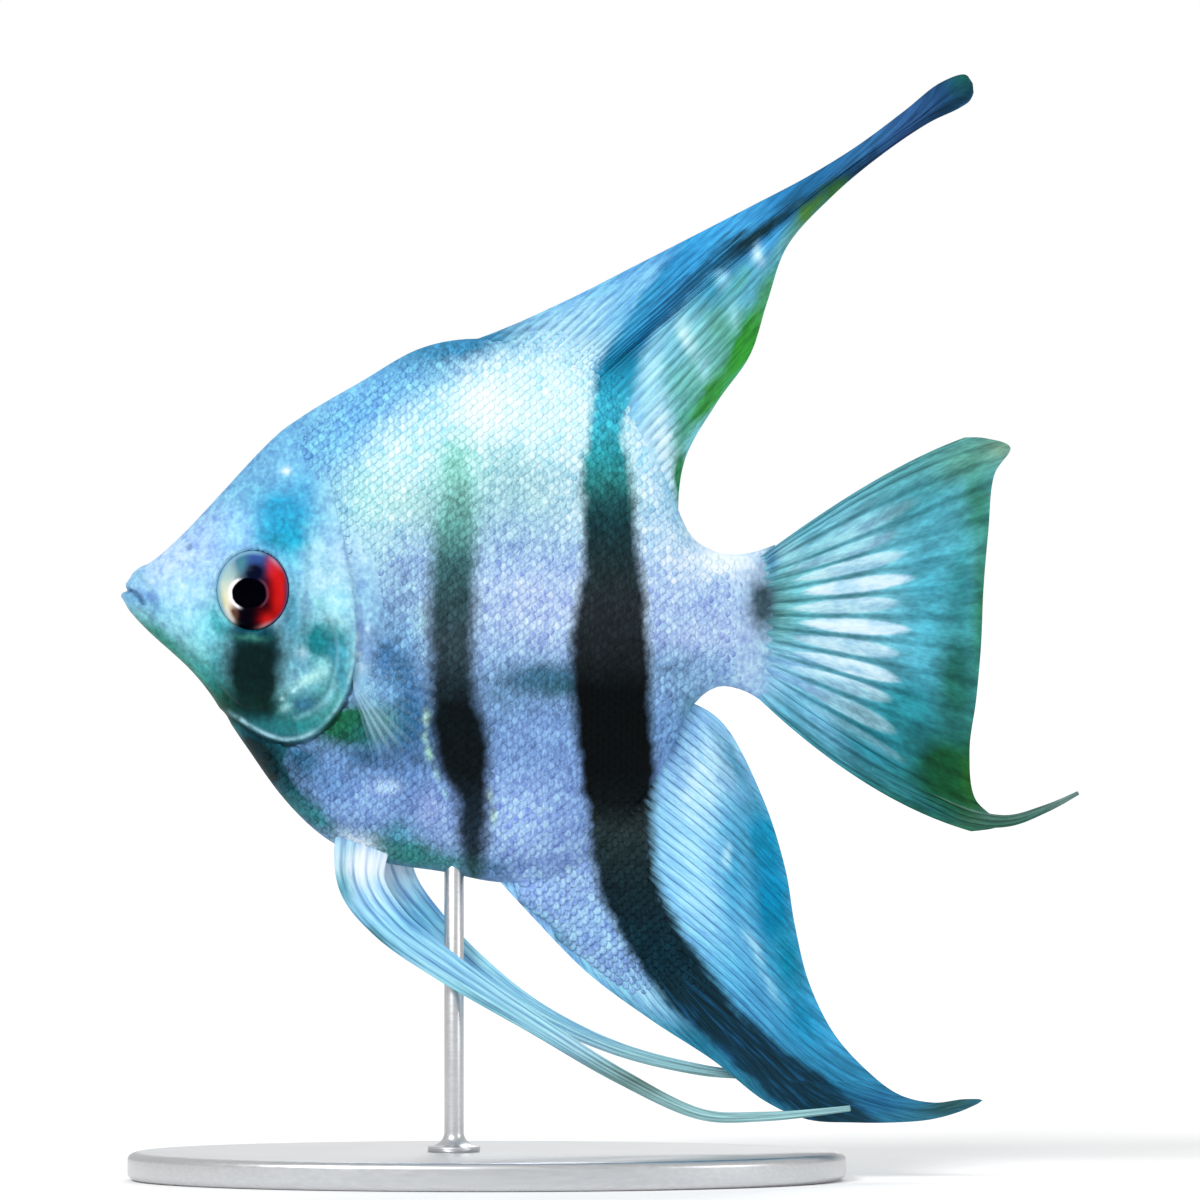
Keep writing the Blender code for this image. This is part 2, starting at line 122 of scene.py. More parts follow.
# Quads between the rows of a grid of vertex numbers
def quads(index):
    a, b, c, d = index[:-1, :-1], index[1:, :-1], index[1:, 1:], index[:-1, 1:]
    return np.stack([a, b, c, d], axis=-1).reshape(-1, 4)


# Turns faces of three or more corners outwards, which grids need where they run the other way
def faceOut(verts, faces):
    total = 0.0
    for f in faces:
        for k in range(1, f.shape[1] - 1):
            corner, left, right = verts[f[:, 0]], verts[f[:, k]], verts[f[:, k + 1]]
            total += np.einsum("ij,ij->", corner, np.cross(left, right))
    return faces if total > 0 else [f[:, ::-1] for f in faces]


# A piece from a shape: vertices in millimetres and face arrays of three or more corners
def piece(name, shape, paint, replaced=(), uv=None, uvName="Rays", values=None):
    verts, faces = shape
    faces = faceOut(verts - verts.mean(axis=0), faces)
    loops = np.concatenate([f.ravel() for f in faces])
    totals = np.concatenate([np.full(len(f), f.shape[1]) for f in faces])
    mesh = bpy.data.meshes.new(name)
    mesh.vertices.add(len(verts))
    mesh.vertices.foreach_set("co", (verts * mm).ravel())
    mesh.loops.add(len(loops))
    mesh.loops.foreach_set("vertex_index", loops.astype(np.int32))
    mesh.polygons.add(len(totals))
    starts = np.concatenate([[0], np.cumsum(totals)[:-1]])
    mesh.polygons.foreach_set("loop_start", starts.astype(np.int32))
    mesh.polygons.foreach_set("loop_total", totals.astype(np.int32))
    mesh.polygons.foreach_set("use_smooth", np.ones(len(totals), bool))
    if uv is not None:
        layer = mesh.uv_layers.new(name=uvName)
        layer.data.foreach_set("uv", uv.reshape(-1, 2)[loops].ravel())
    for key, data in (values or {}).items():
        kind, field = ("FLOAT_VECTOR", "vector") if data.ndim > 1 else ("FLOAT", "value")
        mesh.attributes.new(key, kind, "POINT").data.foreach_set(field, data.ravel())
    mesh.update(calc_edges=True)
    mesh.validate()
    mesh.materials.append(paint)
    made = bpy.data.objects.new(name, mesh)
    bpy.context.scene.collection.objects.link(made)
    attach(made, "root")
    if replaced:
        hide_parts(*replaced)
    print("made", name, len(verts), "points", int((totals - 2).sum()), "triangles")


# A closed skin: rings (rows, around, 3), each end shut by a fan to its own middle
def closedRings(rings):
    rows, around = rings.shape[:2]
    index = np.arange(rows * around).reshape(rows, around)
    index = np.concatenate([index, index[:, :1]], axis=1)
    ends = np.stack([rings[0].mean(axis=0), rings[-1].mean(axis=0)])
    first = np.full(around, rows * around)
    fans = [
        np.stack([first, index[0, :-1], index[0, 1:]], axis=1),
        np.stack([first + 1, index[-1, 1:], index[-1, :-1]], axis=1),
    ]
    return np.concatenate([rings.reshape(-1, 3), ends]), [quads(index), *fans]


# A closed sheet: a middle grid (rays, places, 3) pushed out to both sides by its half thickness
def closedSheet(middle, half):
    rays, places = half.shape
    push = np.stack([np.zeros_like(half), half, np.zeros_like(half)], axis=-1)
    right = np.arange(rays * places).reshape(rays, places)
    left = right + rays * places
    border = np.concatenate([right[:, 0], right[-1, 1:], right[-2::-1, -1], right[0, -2:0:-1]])
    border = np.append(border, border[0])
    rim = quads(np.stack([border, border + rays * places]))
    faces = [quads(right)[:, ::-1], quads(left), rim]
    return np.concatenate([(middle + push).reshape(-1, 3), (middle - push).reshape(-1, 3)]), faces


# A closed sheet whose grid also gives each place its ray's number and its share of the ray
def raySheet(name, grid, half, paint, node):
    middle, number, out = grid
    uv = np.tile(np.stack([number, out], axis=-1).reshape(-1, 2), (2, 1))
    piece(name, closedSheet(middle, half), paint, (node,), uv)


# Materials

# A socket whose arithmetic adds Math nodes
class Wire:
    def __init__(self, paint, socket):
        self.paint, self.socket = paint, socket

    def math(self, operation, *values):
        return self.paint.node("Math", {"operation": operation}, dict(enumerate(values)))

    def __add__(self, other):
        return self.math("ADD", self, other)

    def __sub__(self, other):
        return self.math("SUBTRACT", self, other)

    def __rsub__(self, other):
        return self.math("SUBTRACT", other, self)

    def __mul__(self, other):
        return self.math("MULTIPLY", self, other)

    def __truediv__(self, other):
        return self.math("DIVIDE", self, other)

    def __pow__(self, other):
        return self.math("POWER", self, other)

    def __rpow__(self, other):
        return self.math("POWER", other, self)

    def __abs__(self):
        return self.math("ABSOLUTE", self)

    __radd__, __rmul__ = __add__, __mul__

    # 0 below low, 1 above high, smooth between
    def rise(self, low, high):
        settings = {"interpolation_type": "SMOOTHSTEP"}
        return self.paint.node("MapRange", settings, {0: self, 1: low, 2: high})


# A material under construction
class Paint:
    def __init__(self, name, **fixed):
        self.material = bpy.data.materials.new(name)
        self.material.use_nodes = True
        self.tree = self.material.node_tree
        self.shader = self.tree.nodes["Principled BSDF"]
        for key, value in fixed.items():
            self.shader.inputs[key.replace("_", " ")].default_value = value

    def put(self, socket, value):
        if isinstance(value, Wire):
            self.tree.links.new(value.socket, socket)
        else:
            socket.default_value = value

    # One node: its type, then its settings, then the values or links of its sockets
    def node(self, kind, settings, values, out=0):
        made = self.tree.nodes.new("ShaderNode" + kind)
        for key, value in settings.items():
            if key == "stops":
                for _ in value[2:]:
                    made.color_ramp.elements.new(0.5)
                for stop, (at, colour) in zip(made.color_ramp.elements, value):
                    stop.position, stop.color = at, colour
            elif key == "curve":
                points = made.mapping.curves[0].points
                for _ in value[2:]:
                    points.new(0.5, 0.5)
                for point, at in zip(points, value):
                    point.location = at
                made.mapping.update()
            else:
                setattr(made, key, value)
        for key, value in values.items():
            self.put(made.inputs[key], value)
        return Wire(self, made.outputs[out])

    def place(self):
        return self.node("TexCoord", {}, {}, "Object")

    def attribute(self, name, out="Fac"):
        return self.node("Attribute", {"attribute_name": name}, {}, out)

    def part(self, vector, axis):
        return self.node("SeparateXYZ", {}, {0: vector}, axis)

    def join(self, x, y, z):
        return self.node("CombineXYZ", {}, {0: x, 1: y, 2: z})

    def shift(self, vector, other, operation="ADD"):
        return self.node("VectorMath", {"operation": operation}, {0: vector, 1: other})

    def mix(self, factor, a, b, blend="MIX"):
        settings = {"data_type": "RGBA", "blend_type": blend}
        return self.node("Mix", settings, {0: factor, 6: a, 7: b}, 2)

    def cloud(self, place, scale, detail, out="Fac"):
        return self.node("TexNoise", {}, {"Vector": place, "Scale": scale, "Detail": detail}, out)

    # Noise with its grain in millimetres; the place is in metres
    def noise(self, place, grain, detail=2.0, out="Fac"):
        return self.cloud(place, 1000 / grain, detail, out)

    # A wandering direction, half a unit or less along each axis
    def wander(self, place, grain):
        return self.shift(self.noise(place, grain, 3.0, "Color"), (0.5, 0.5, 0.5), "SUBTRACT")

    # A place moved along such a direction; the reach is in millimetres
    def stray(self, place, direction, reach):
        return self.shift(place, self.shift(direction, (reach * mm,) * 3, "MULTIPLY"))

    # Number of the ray, share of its length, and a wave that is 1 on rays and 0 between them
    def rays(self):
        place = self.node("UVMap", {"uv_map": "Rays"}, {})
        number, out = self.part(place, "X"), self.part(place, "Y")
        return number, out, abs(self.node("Math", {"operation": "COSINE"}, {0: number * math.pi}))

    # A curve of x, y points in millimetres, read at a value in metres and given in millimetres
    def curve(self, value, points):
        points = np.array(points)
        low, high = points.min(axis=0), points.max(axis=0)
        unit = [tuple(p) for p in (points - low) / (high - low)]
        at = (value * 1000 - low[0]) / (high[0] - low[0])
        return self.node("FloatCurve", {"curve": unit}, {1: at}) * (high[1] - low[1]) + low[1]

    # A ramp of colours over a value in metres, at heights in millimetres
    def bands(self, value, stops):
        low, high = stops[0][0], stops[-1][0]
        unit = [((at - low) / (high - low), tint(*rgb)) for at, *rgb in stops]
        return self.node("ValToRGB", {"stops": unit}, {0: (value * 1000 - low) / (high - low)})

    # 1 at the middle of a tilted oval of the side view and e^-1 at its radii: the tilt is a
    # mirroring in the line at half the angle, which is the same thing for a symmetric oval
    def blot(self, place, x, z, wide, high, turn=0.0):
        local = self.shift(place, (x * mm, 0, z * mm), "SUBTRACT")
        if turn:
            half = math.radians(turn) / 2
            local = self.shift(local, (-math.sin(half), 0, math.cos(half)), "REFLECT")
        local = self.shift(local, (1 / (wide * mm), 0, 1 / (high * mm)), "MULTIPLY")
        square = self.node("VectorMath", {"operation": "DOT_PRODUCT"}, {0: local, 1: local}, 1)
        return 0.3679**square

    # Lightens and darkens a colour by a wave round its centre, leaving black black and white white
    def vary(self, colour, wave, amount, centre=0.5):
        return self.mix(1.0, colour, wave * amount + (0.5 - amount * centre), "OVERLAY")

    # The same by a noise, stretched to its full range
    def mottle(self, colour, noise, amount):
        return self.vary(colour, noise.rise(0.3, 0.7), amount)

    # Lays soft ovals of colour over a colour, one after another
    def blots(self, place, under, spots):
        for x, z, wide, high, strength, red, green, blue, *turn in spots:
            oval = self.blot(place, x, z, wide, high, *turn)
            under = self.mix(oval * strength, under, tint(red, green, blue))
        return under

    def finish(self, colour, roughness=None, height=None, strength=0.2, distance=0.0001):
        self.put(self.shader.inputs["Base Color"], colour)
        if roughness is not None:
            self.put(self.shader.inputs["Roughness"], roughness)
        if height is not None:
            values = {"Height": height, "Strength": strength, "Distance": distance}
            self.put(self.shader.inputs["Normal"], self.node("Bump", {}, values))
        return self.material


# Linear colour with alpha from the 0 to 255 numbers of a colour chart
def tint(*rgb):
    c = np.array(rgb) / 255
    return (*np.where(c > 0.04045, ((c + 0.055) / 1.055) ** 2.4, c / 12.92).tolist(), 1.0)


# The fish's colours in the side view, with a few painted highlights and shadows among the ovals

# where the tail fin meets its stem, on both of them
wrist = [
    (22.2, 69.6, 1.9, 7.6, 0.95, 92, 158, 160), (21, 61.6, 1.8, 3, 0.9, 134, 180, 210),
    (19.9, 70.6, 1.7, 3.1, 1.25, 56, 80, 92), (21, 75.8, 0.9, 1.6, 0.9, 58, 116, 156),
]
flank = {
    # colour of the flank's rows by height: z, then the colour
    "rows": [
        (20, 112, 150, 200), (32, 134, 170, 218), (40, 128, 162, 212), (48, 122, 156, 210),
        (56, 110, 148, 196), (63, 134, 170, 212), (70, 162, 190, 224), (76, 158, 192, 226),
        (83, 168, 210, 222), (88, 186, 226, 234), (93, 208, 238, 246), (99, 192, 230, 244),
        (104, 150, 206, 234), (110, 128, 188, 226),
    ],
    # soft ovals: x, z, half length, half height, strength, colour, and the turn of a tilted one
    "spots": [
        # back and nape
        (-27, 99.5, 9, 2.6, 0.85, 76, 160, 206, 28), (-9, 103.5, 4, 1.8, 0.6, 110, 182, 216, -8),
        (-31, 95.5, 6, 3.4, 0.85, 112, 180, 222, 35), (-24, 97.8, 5, 2.8, 0.8, 84, 168, 210, 26),
        (-37, 90, 5, 6, 0.9, 106, 180, 224, 40), (-33, 90, 3, 3.4, 0.7, 128, 200, 236, 20),
        (-19, 99, 5, 2.2, 0.7, 96, 176, 214, 8),
        # pale upper flank
        (-25, 89.5, 4.6, 5.6, 0.7, 206, 238, 244), (-14.2, 94.5, 4.4, 4.8, 0.95, 232, 247, 251),
        (-6, 97, 4.5, 5, 0.7, 212, 238, 246, 20), (-5, 91, 4.5, 5, 0.7, 212, 240, 246),
        (-20, 94, 2.6, 4, 0.5, 150, 214, 236), (-29, 83.2, 4, 4.6, 0.8, 178, 226, 228),
        (-9.5, 85, 5, 3.4, 0.7, 150, 194, 204), (-9.5, 79, 5.5, 3, 0.5, 158, 192, 218),
        (-3.5, 84, 3, 6, 0.55, 184, 214, 228), (-24, 82.5, 3, 3, 0.6, 186, 224, 220),
        (-12, 88.5, 3.4, 2.4, 0.5, 176, 216, 220), (-34, 80.6, 2.6, 3, 0.7, 146, 214, 230),
        # green-teal haze above the first bar
        (-17.6, 86.6, 2.8, 4.4, 0.85, 140, 216, 202), (-17.8, 80.6, 3, 3.6, 0.9, 88, 156, 146),
        (-17.6, 83, 1.2, 1.4, 0.6, 60, 140, 124),
        # middle of the flank between the bars
        (-8, 71.5, 5.5, 4, 0.65, 184, 200, 232), (-5, 68.5, 4, 3, 0.5, 180, 202, 232),
        (-7, 61.4, 6, 2, 1.2, 62, 106, 136, 4), (-4.2, 60.4, 3.2, 1.3, 0.9, 46, 92, 108),
        (-11.5, 58.6, 2.4, 2.4, 0.5, 94, 134, 168), (-8.4, 55, 4.4, 2.6, 0.9, 124, 160, 210),
        (-4.5, 49, 4, 4, 0.5, 120, 152, 204), (-10, 44, 4.4, 4.6, 0.95, 160, 194, 236),
        (-3.5, 37, 4.5, 5, 0.5, 152, 184, 224), (-1, 30, 4.5, 4.5, 0.7, 150, 194, 230, -40),
        (-12.4, 38, 3.2, 1.6, 0.8, 70, 110, 160), (-7.5, 31.2, 4.5, 1.2, 0.9, 52, 130, 142, -40),
        (-8.6, 36.4, 3.2, 1.5, 0.9, 150, 186, 234, -36),
        # shoulder, in front of the first bar; the pale streak at x -28.4, z 60.2 is a painted highlight at
        # the pectoral fin's foot
        (-23.8, 73, 3.2, 4, 0.75, 126, 166, 202), (-27.6, 77, 3, 3, 0.7, 172, 216, 226),
        (-25.2, 63, 2.8, 5.4, 1.3, 52, 104, 152, 12), (-23.6, 66.6, 1.8, 2.6, 0.9, 118, 166, 208),
        (-24, 56.5, 3, 5, 1.4, 54, 104, 152), (-27, 69, 2.6, 3.2, 0.9, 116, 160, 198),
        (-28.4, 60.2, 4, 1.1, 1, 158, 212, 236, -62), (-26.4, 57.6, 1.8, 1, 0.8, 110, 172, 212, -50),
        (-22.4, 69, 1, 3, 0.5, 150, 196, 216), (-26.4, 59.2, 1.8, 2.8, 0.75, 132, 188, 230, -20),
        # chest
        (-30, 55.8, 4.4, 2.3, 1.8, 26, 100, 72, 4), (-36.2, 51.4, 3.2, 1.8, 1.2, 40, 92, 124, -36),
        (-28.4, 52, 3.4, 2, 1, 58, 100, 138), (-32.8, 48.6, 3.2, 2.2, 1, 106, 150, 202, -34),
        (-24.4, 49, 3, 3.4, 0.7, 96, 136, 190), (-28.6, 46.4, 2.4, 1.8, 1, 136, 174, 222, 20),
        (-28, 55, 1.8, 1.6, 0.9, 30, 98, 104), (-26.2, 48.2, 1.5, 1, 0.9, 190, 222, 248),
        (-20.6, 45.4, 1.3, 1.6, 0.8, 176, 198, 234), (-21.8, 52, 1.8, 1.6, 0.7, 74, 112, 154),
        (-20.6, 45.4, 2, 2.6, 0.6, 130, 156, 210), (-40.4, 49.8, 7, 2, 1.8, 8, 60, 72, -50),
        (-35.4, 44.9, 3.6, 1.3, 1.2, 48, 118, 130, -38), (-25, 40.4, 6.5, 1.9, 1.3, 52, 128, 128, -9),
        (-29.6, 41.6, 2.6, 1.2, 0.9, 200, 220, 240, -15), (-24.6, 42.6, 2, 1.6, 0.8, 66, 134, 158, -15),
        (-18.6, 42.2, 2.6, 2, 0.5, 150, 180, 226), (-19.5, 38.8, 4, 1.2, 0.8, 60, 136, 136, -4),
        # wrist of the tail
        (14.5, 75.8, 5, 2.2, 0.9, 230, 240, 244), (11, 71, 4, 2, 0.6, 152, 182, 222),
        (12, 66.8, 5.5, 1.8, 0.7, 180, 200, 230), (9, 62, 3.6, 2.6, 0.7, 104, 144, 178),
        (15.5, 61.6, 3, 2, 0.6, 140, 186, 224), (8, 79, 2.6, 4, 0.7, 192, 216, 236, 30),
        (17, 66.5, 4, 1.4, 0.5, 160, 184, 224), (8.5, 54.5, 2.6, 4, 0.6, 108, 156, 204, 20),
        (8.5, 73.5, 2.6, 3, 0.5, 194, 212, 236), (12, 57.8, 2.2, 1.9, 1, 92, 146, 170),
        (18.6, 63, 2.6, 3, 1, 168, 198, 226), *wrist,
        # behind the second bar, up to the fins
        (6.2, 87, 1.7, 7.5, 0.85, 186, 216, 238, 10), (9, 84, 1.4, 4, 0.7, 122, 190, 226, 20),
        (5.2, 72, 0.9, 9, 0.4, 206, 228, 240), (5.4, 89, 1.3, 3.2, 1, 190, 228, 244),
        # mint and white flecks beside the first bar; the white flecks behind the gill cover, at x -30 to
        # -28.4, are painted highlights at the pectoral fin's foot
        (-21.1, 56.7, 0.45, 0.9, 1, 186, 234, 222), (-21.3, 54.4, 0.4, 0.7, 0.9, 170, 222, 214),
        (-20.9, 52.4, 0.45, 0.9, 1, 176, 228, 216), (-20, 49.6, 0.4, 0.8, 0.9, 160, 210, 220, 20),
        (-18.9, 47.4, 0.4, 0.7, 0.8, 150, 200, 220, 20), (-13.5, 47.2, 0.4, 0.7, 1, 190, 226, 226),
        (-13.1, 44.6, 0.45, 0.8, 1, 186, 226, 220), (-21.6, 68.6, 0.5, 1.2, 0.8, 170, 216, 226),
        (-21.8, 64.6, 0.4, 0.8, 0.7, 160, 206, 224), (-30, 66.4, 0.5, 0.6, 0.9, 214, 238, 246),
        (-29.5, 64.4, 0.4, 0.5, 0.9, 206, 234, 244), (-29.3, 62.6, 0.5, 0.6, 0.9, 220, 242, 248),
        (-28.4, 67.6, 0.4, 0.5, 0.8, 190, 222, 240), (-28.8, 72, 1.8, 3.6, 0.8, 138, 192, 220),
        (-2.6, 72, 0.5, 4, 0.6, 196, 216, 238),
        # azure edge of the back
        (-19, 102.2, 7, 2, 1.4, 56, 132, 174, 10), (-29.6, 93.2, 9, 3.6, 0.95, 108, 182, 226, 38),
    ],
}
bars = {
    # the middle of each bar as z, x, and its width as z, width
    "firstMiddle": [(38, -15.6), (41.7, -15.7), (46.6, -15.6), (49, -16.5), (53.9, -17.1),
                    (58.8, -17.9), (66, -18.2), (76, -18), (82, -17.8), (93, -17.6)],
    "firstWidth": [(36.4, -1.6), (38.6, 2.6), (44.1, 3.8), (46.6, 3.9), (49, 5.4), (53.9, 7),
                   (58.8, 6), (63, 5.4), (70, 5.8), (76, 5.2), (80, 4), (86, 1.6), (93, -2.6)],
    "secondMiddle": [(6, 31), (9.8, 26), (12.3, 22.9), (17, 17.3), (22.1, 11.8), (27, 8.3),
                     (31.9, 5.2), (36.8, 3.2), (44.1, 2.4), (51.5, 2), (58.8, 1.3), (66.2, 1.1),
                     (74, 1.4), (80, 1.1), (84, 0.9), (88, 0.7), (92, 0.6), (95, 1.3), (98, 1.8),
                     (100, 2.2), (102, 3.4), (104, 5.4)],
    "secondWidth": [(6, 9), (12.3, 9.5), (17, 8), (24.5, 8.3), (31.9, 7.8), (41.7, 7.6),
                    (49, 9.2), (58.8, 9.6), (66.2, 9.4), (71, 8.4), (76, 6.8), (80, 6.4),
                    (85, 6.2), (88, 5.6), (92, 4.2), (96, 4.8), (100, 4.9), (104, 5.6)],
    "firstRows": [(37, 48, 90, 92), (41, 32, 48, 62), (47, 16, 30, 40), (50, 6, 16, 20),
                  (58, 4, 16, 20), (61, 26, 42, 50), (66, 48, 66, 74), (71, 46, 74, 80),
                  (76, 60, 104, 108), (80, 92, 152, 148), (90, 150, 214, 206)],
    "secondRows": [(6, 20, 58, 74), (12, 16, 54, 72), (20, 9, 46, 60), (28, 8, 42, 54),
                   (35, 14, 36, 44), (40, 26, 44, 48), (43, 36, 50, 52), (46, 6, 16, 18), (50, 0, 4, 6),
                   (60, 0, 4, 6), (66, 26, 34, 38), (71, 34, 42, 48), (76, 28, 48, 52),
                   (80, 20, 54, 60), (83, 30, 80, 84), (86, 42, 124, 126), (89, 44, 150, 162),
                   (92, 56, 172, 194), (95, 56, 168, 196), (98, 30, 146, 180), (101, 24, 126, 166),
                   (104, 26, 120, 172)],
}
face = {
    "rows": [(40, 84, 134, 176), (50, 60, 126, 146), (58, 60, 140, 140), (64, 112, 180, 196),
             (70, 142, 196, 220), (77, 158, 200, 230), (84, 122, 182, 216), (92, 108, 172, 212),
             (104, 96, 168, 208)],
    "spots": [
        # snout, lips and lower jaw
        (-52.6, 75.6, 4.6, 2.6, 0.8, 184, 210, 244, 40), (-57, 73.8, 1.5, 1.3, 1.3, 134, 184, 220, 20),
        (-55.4, 72, 1.6, 0.9, 0.8, 168, 216, 240, -30), (-57.4, 71.3, 2, 1, 0.9, 104, 158, 206, -20),
        (-50.6, 72.2, 2.4, 2, 0.7, 180, 224, 248), (-54.4, 70, 2.2, 1.3, 0.7, 122, 190, 220, -35),
        (-50.4, 68.7, 2.4, 1.6, 0.7, 156, 220, 236, -20), (-47.6, 67.6, 1.6, 2.4, 0.7, 110, 208, 218),
        (-49.4, 65, 2.4, 1.3, 0.7, 130, 206, 212, -40), (-52.4, 64.4, 7, 1.3, 1.4, 52, 134, 124, -46),
        (-47, 59.2, 4.2, 1.8, 1.3, 20, 88, 68, -50), (-48.6, 62.4, 2.4, 1.1, 0.7, 70, 168, 166, -45),
        (-47, 63.8, 1, 3.2, 0.7, 44, 146, 156), (-55.6, 71.8, 1.6, 0.7, 0.6, 96, 150, 206, -40),
        # forehead; the small white spot at x -38.6, z 86.9 is a painted highlight
        (-47.6, 79, 4.5, 2.6, 0.7, 158, 192, 230, 45), (-42.4, 84.8, 4, 3, 0.7, 108, 174, 212, 45),
        (-39.4, 80.8, 4.4, 3.4, 1.6, 12, 148, 194, 34), (-37.4, 76.6, 2.4, 3.4, 1, 108, 200, 230),
        (-36.6, 84.6, 1.8, 2.6, 0.7, 66, 170, 214, -10), (-36.5, 88.5, 4, 3, 0.6, 106, 178, 222, 30),
        (-38.6, 86.9, 0.6, 0.5, 0.95, 222, 244, 252), (-44, 79.6, 3, 1.6, 0.5, 124, 192, 230, 45),
        (-46, 85.2, 6, 0.9, 0.5, 88, 150, 200, 45),
        # round the eye
        (-38, 79.4, 3.2, 2.6, 1.1, 22, 152, 196), (-38.6, 78, 2.2, 0.9, 0.7, 34, 140, 166, -20),
        (-35, 77, 1.8, 2.6, 0.85, 164, 214, 230, 8), (-37.3, 78.5, 1.6, 1.6, 0.9, 16, 164, 202),
        (-44.2, 79.4, 2.2, 2.8, 0.5, 166, 218, 250), (-33, 73.6, 2.4, 2.6, 0.8, 168, 212, 226),
        (-37.7, 69.6, 1.3, 4.2, 1.2, 84, 152, 178, 4), (-38, 61.4, 1.4, 1.6, 0.9, 128, 194, 214),
        (-46.9, 67.2, 1.9, 2.2, 0.9, 138, 222, 238), (-46, 67.6, 1.6, 1.1, 0.8, 70, 180, 192, -40),
        (-46.9, 68.6, 0.7, 2.4, 0.7, 52, 160, 172, 14), (-34.2, 70.6, 1.4, 1.2, 0.7, 122, 204, 214),
        # cheek bar and gill cover; the dark teal ovals at x -42.6, z 67.4 and x -38.6, z 52.6 are painted
        # shadows under the eye and under the gill cover's edge
        (-42.3, 61.2, 2.9, 4.2, 1.9, 0, 28, 28, 4), (-42.1, 65.8, 3, 2.3, 1.7, 2, 52, 58, 4),
        (-42.1, 63.6, 3, 2.2, 1.8, 0, 26, 28, 4), (-42.6, 67.4, 2.8, 0.8, 1.2, 10, 78, 96),
        (-42.8, 66.4, 1.7, 0.4, 0.9, 58, 128, 118), (-42.4, 57.8, 3.2, 1.6, 1.3, 0, 34, 26, -14),
        (-33.6, 66.2, 2.4, 2.6, 1.7, 16, 120, 130, -15), (-32, 70.4, 2, 2.4, 0.8, 178, 232, 242),
        (-32, 64.4, 1, 2, 1, 60, 152, 176, 10), (-36.6, 62.2, 1.5, 2.6, 0.6, 116, 178, 206, 15),
        (-35.6, 61.5, 2.3, 0.7, 1, 166, 220, 220, 24), (-33, 59.4, 2.2, 0.5, 0.8, 118, 192, 204, 52),
        (-36.2, 58.4, 1.8, 1.1, 1.1, 52, 108, 136, 10), (-38.6, 52.6, 5, 2, 1.4, 24, 84, 98, -38),
        (-42.4, 54.2, 2.2, 1.2, 1, 10, 96, 116), (-41.6, 51.4, 3.8, 2, 1.8, 0, 36, 42, -52),
        (-38.5, 58, 0.7, 0.5, 0.5, 170, 230, 234, 20), (-38.8, 59.2, 0.35, 0.35, 0.8, 176, 232, 236),
        (-37.3, 60.3, 0.5, 0.3, 0.8, 176, 232, 236, 30), (-33.8, 62.6, 0.5, 0.35, 0.7, 176, 232, 236, 40),
        (-31.6, 62.2, 0.7, 3, 0.7, 50, 134, 160, 14), (-37.6, 55.8, 3.6, 0.9, 1, 34, 122, 126, 2),
        (-36.4, 64.6, 0.7, 0.7, 0.6, 196, 234, 244), (-34, 63.2, 0.8, 1.1, 0.6, 150, 216, 224),
    ],
}


# Everything the skin and the scales share: rows by height, ovals, and the two bars
def markings(paint, place, raggedness):
    loose = paint.stray(place, paint.wander(place, 2.2), raggedness)
    x, z = paint.part(loose, "X"), paint.part(loose, "Z")
    body = paint.blots(loose, paint.bands(z, flank["rows"]), flank["spots"])
    head = paint.blots(loose, paint.bands(z, face["rows"]), face["spots"])
    gillX = paint.curve(z, [(40, -40.0), (52, -38.5), (54.5, -35.0), (58.6, -31.4), (63.7, -29.9),
                            (69.8, -29.9), (78.4, -31.4), (88, -33.4), (100, -35)])
    blend = z.rise(70 * mm, 84 * mm) * 3.4 + 0.5
    behind = ((x * 1000 - gillX) / blend).rise(-1.0, 1.0)
    colour = paint.mix(behind, head, body)
    for bar, soft in (("first", 2.6), ("second", 1.9)):
        middle = paint.curve(z, bars[bar + "Middle"])
        width = paint.curve(z, bars[bar + "Width"])
        depth = width * 0.5 - abs(x * 1000 - middle)
        colour = paint.mix(depth.rise(-soft / 2, soft / 2), colour, paint.bands(z, bars[bar + "Rows"]))
    return colour


print("stage 1: colours ready")

# Skin

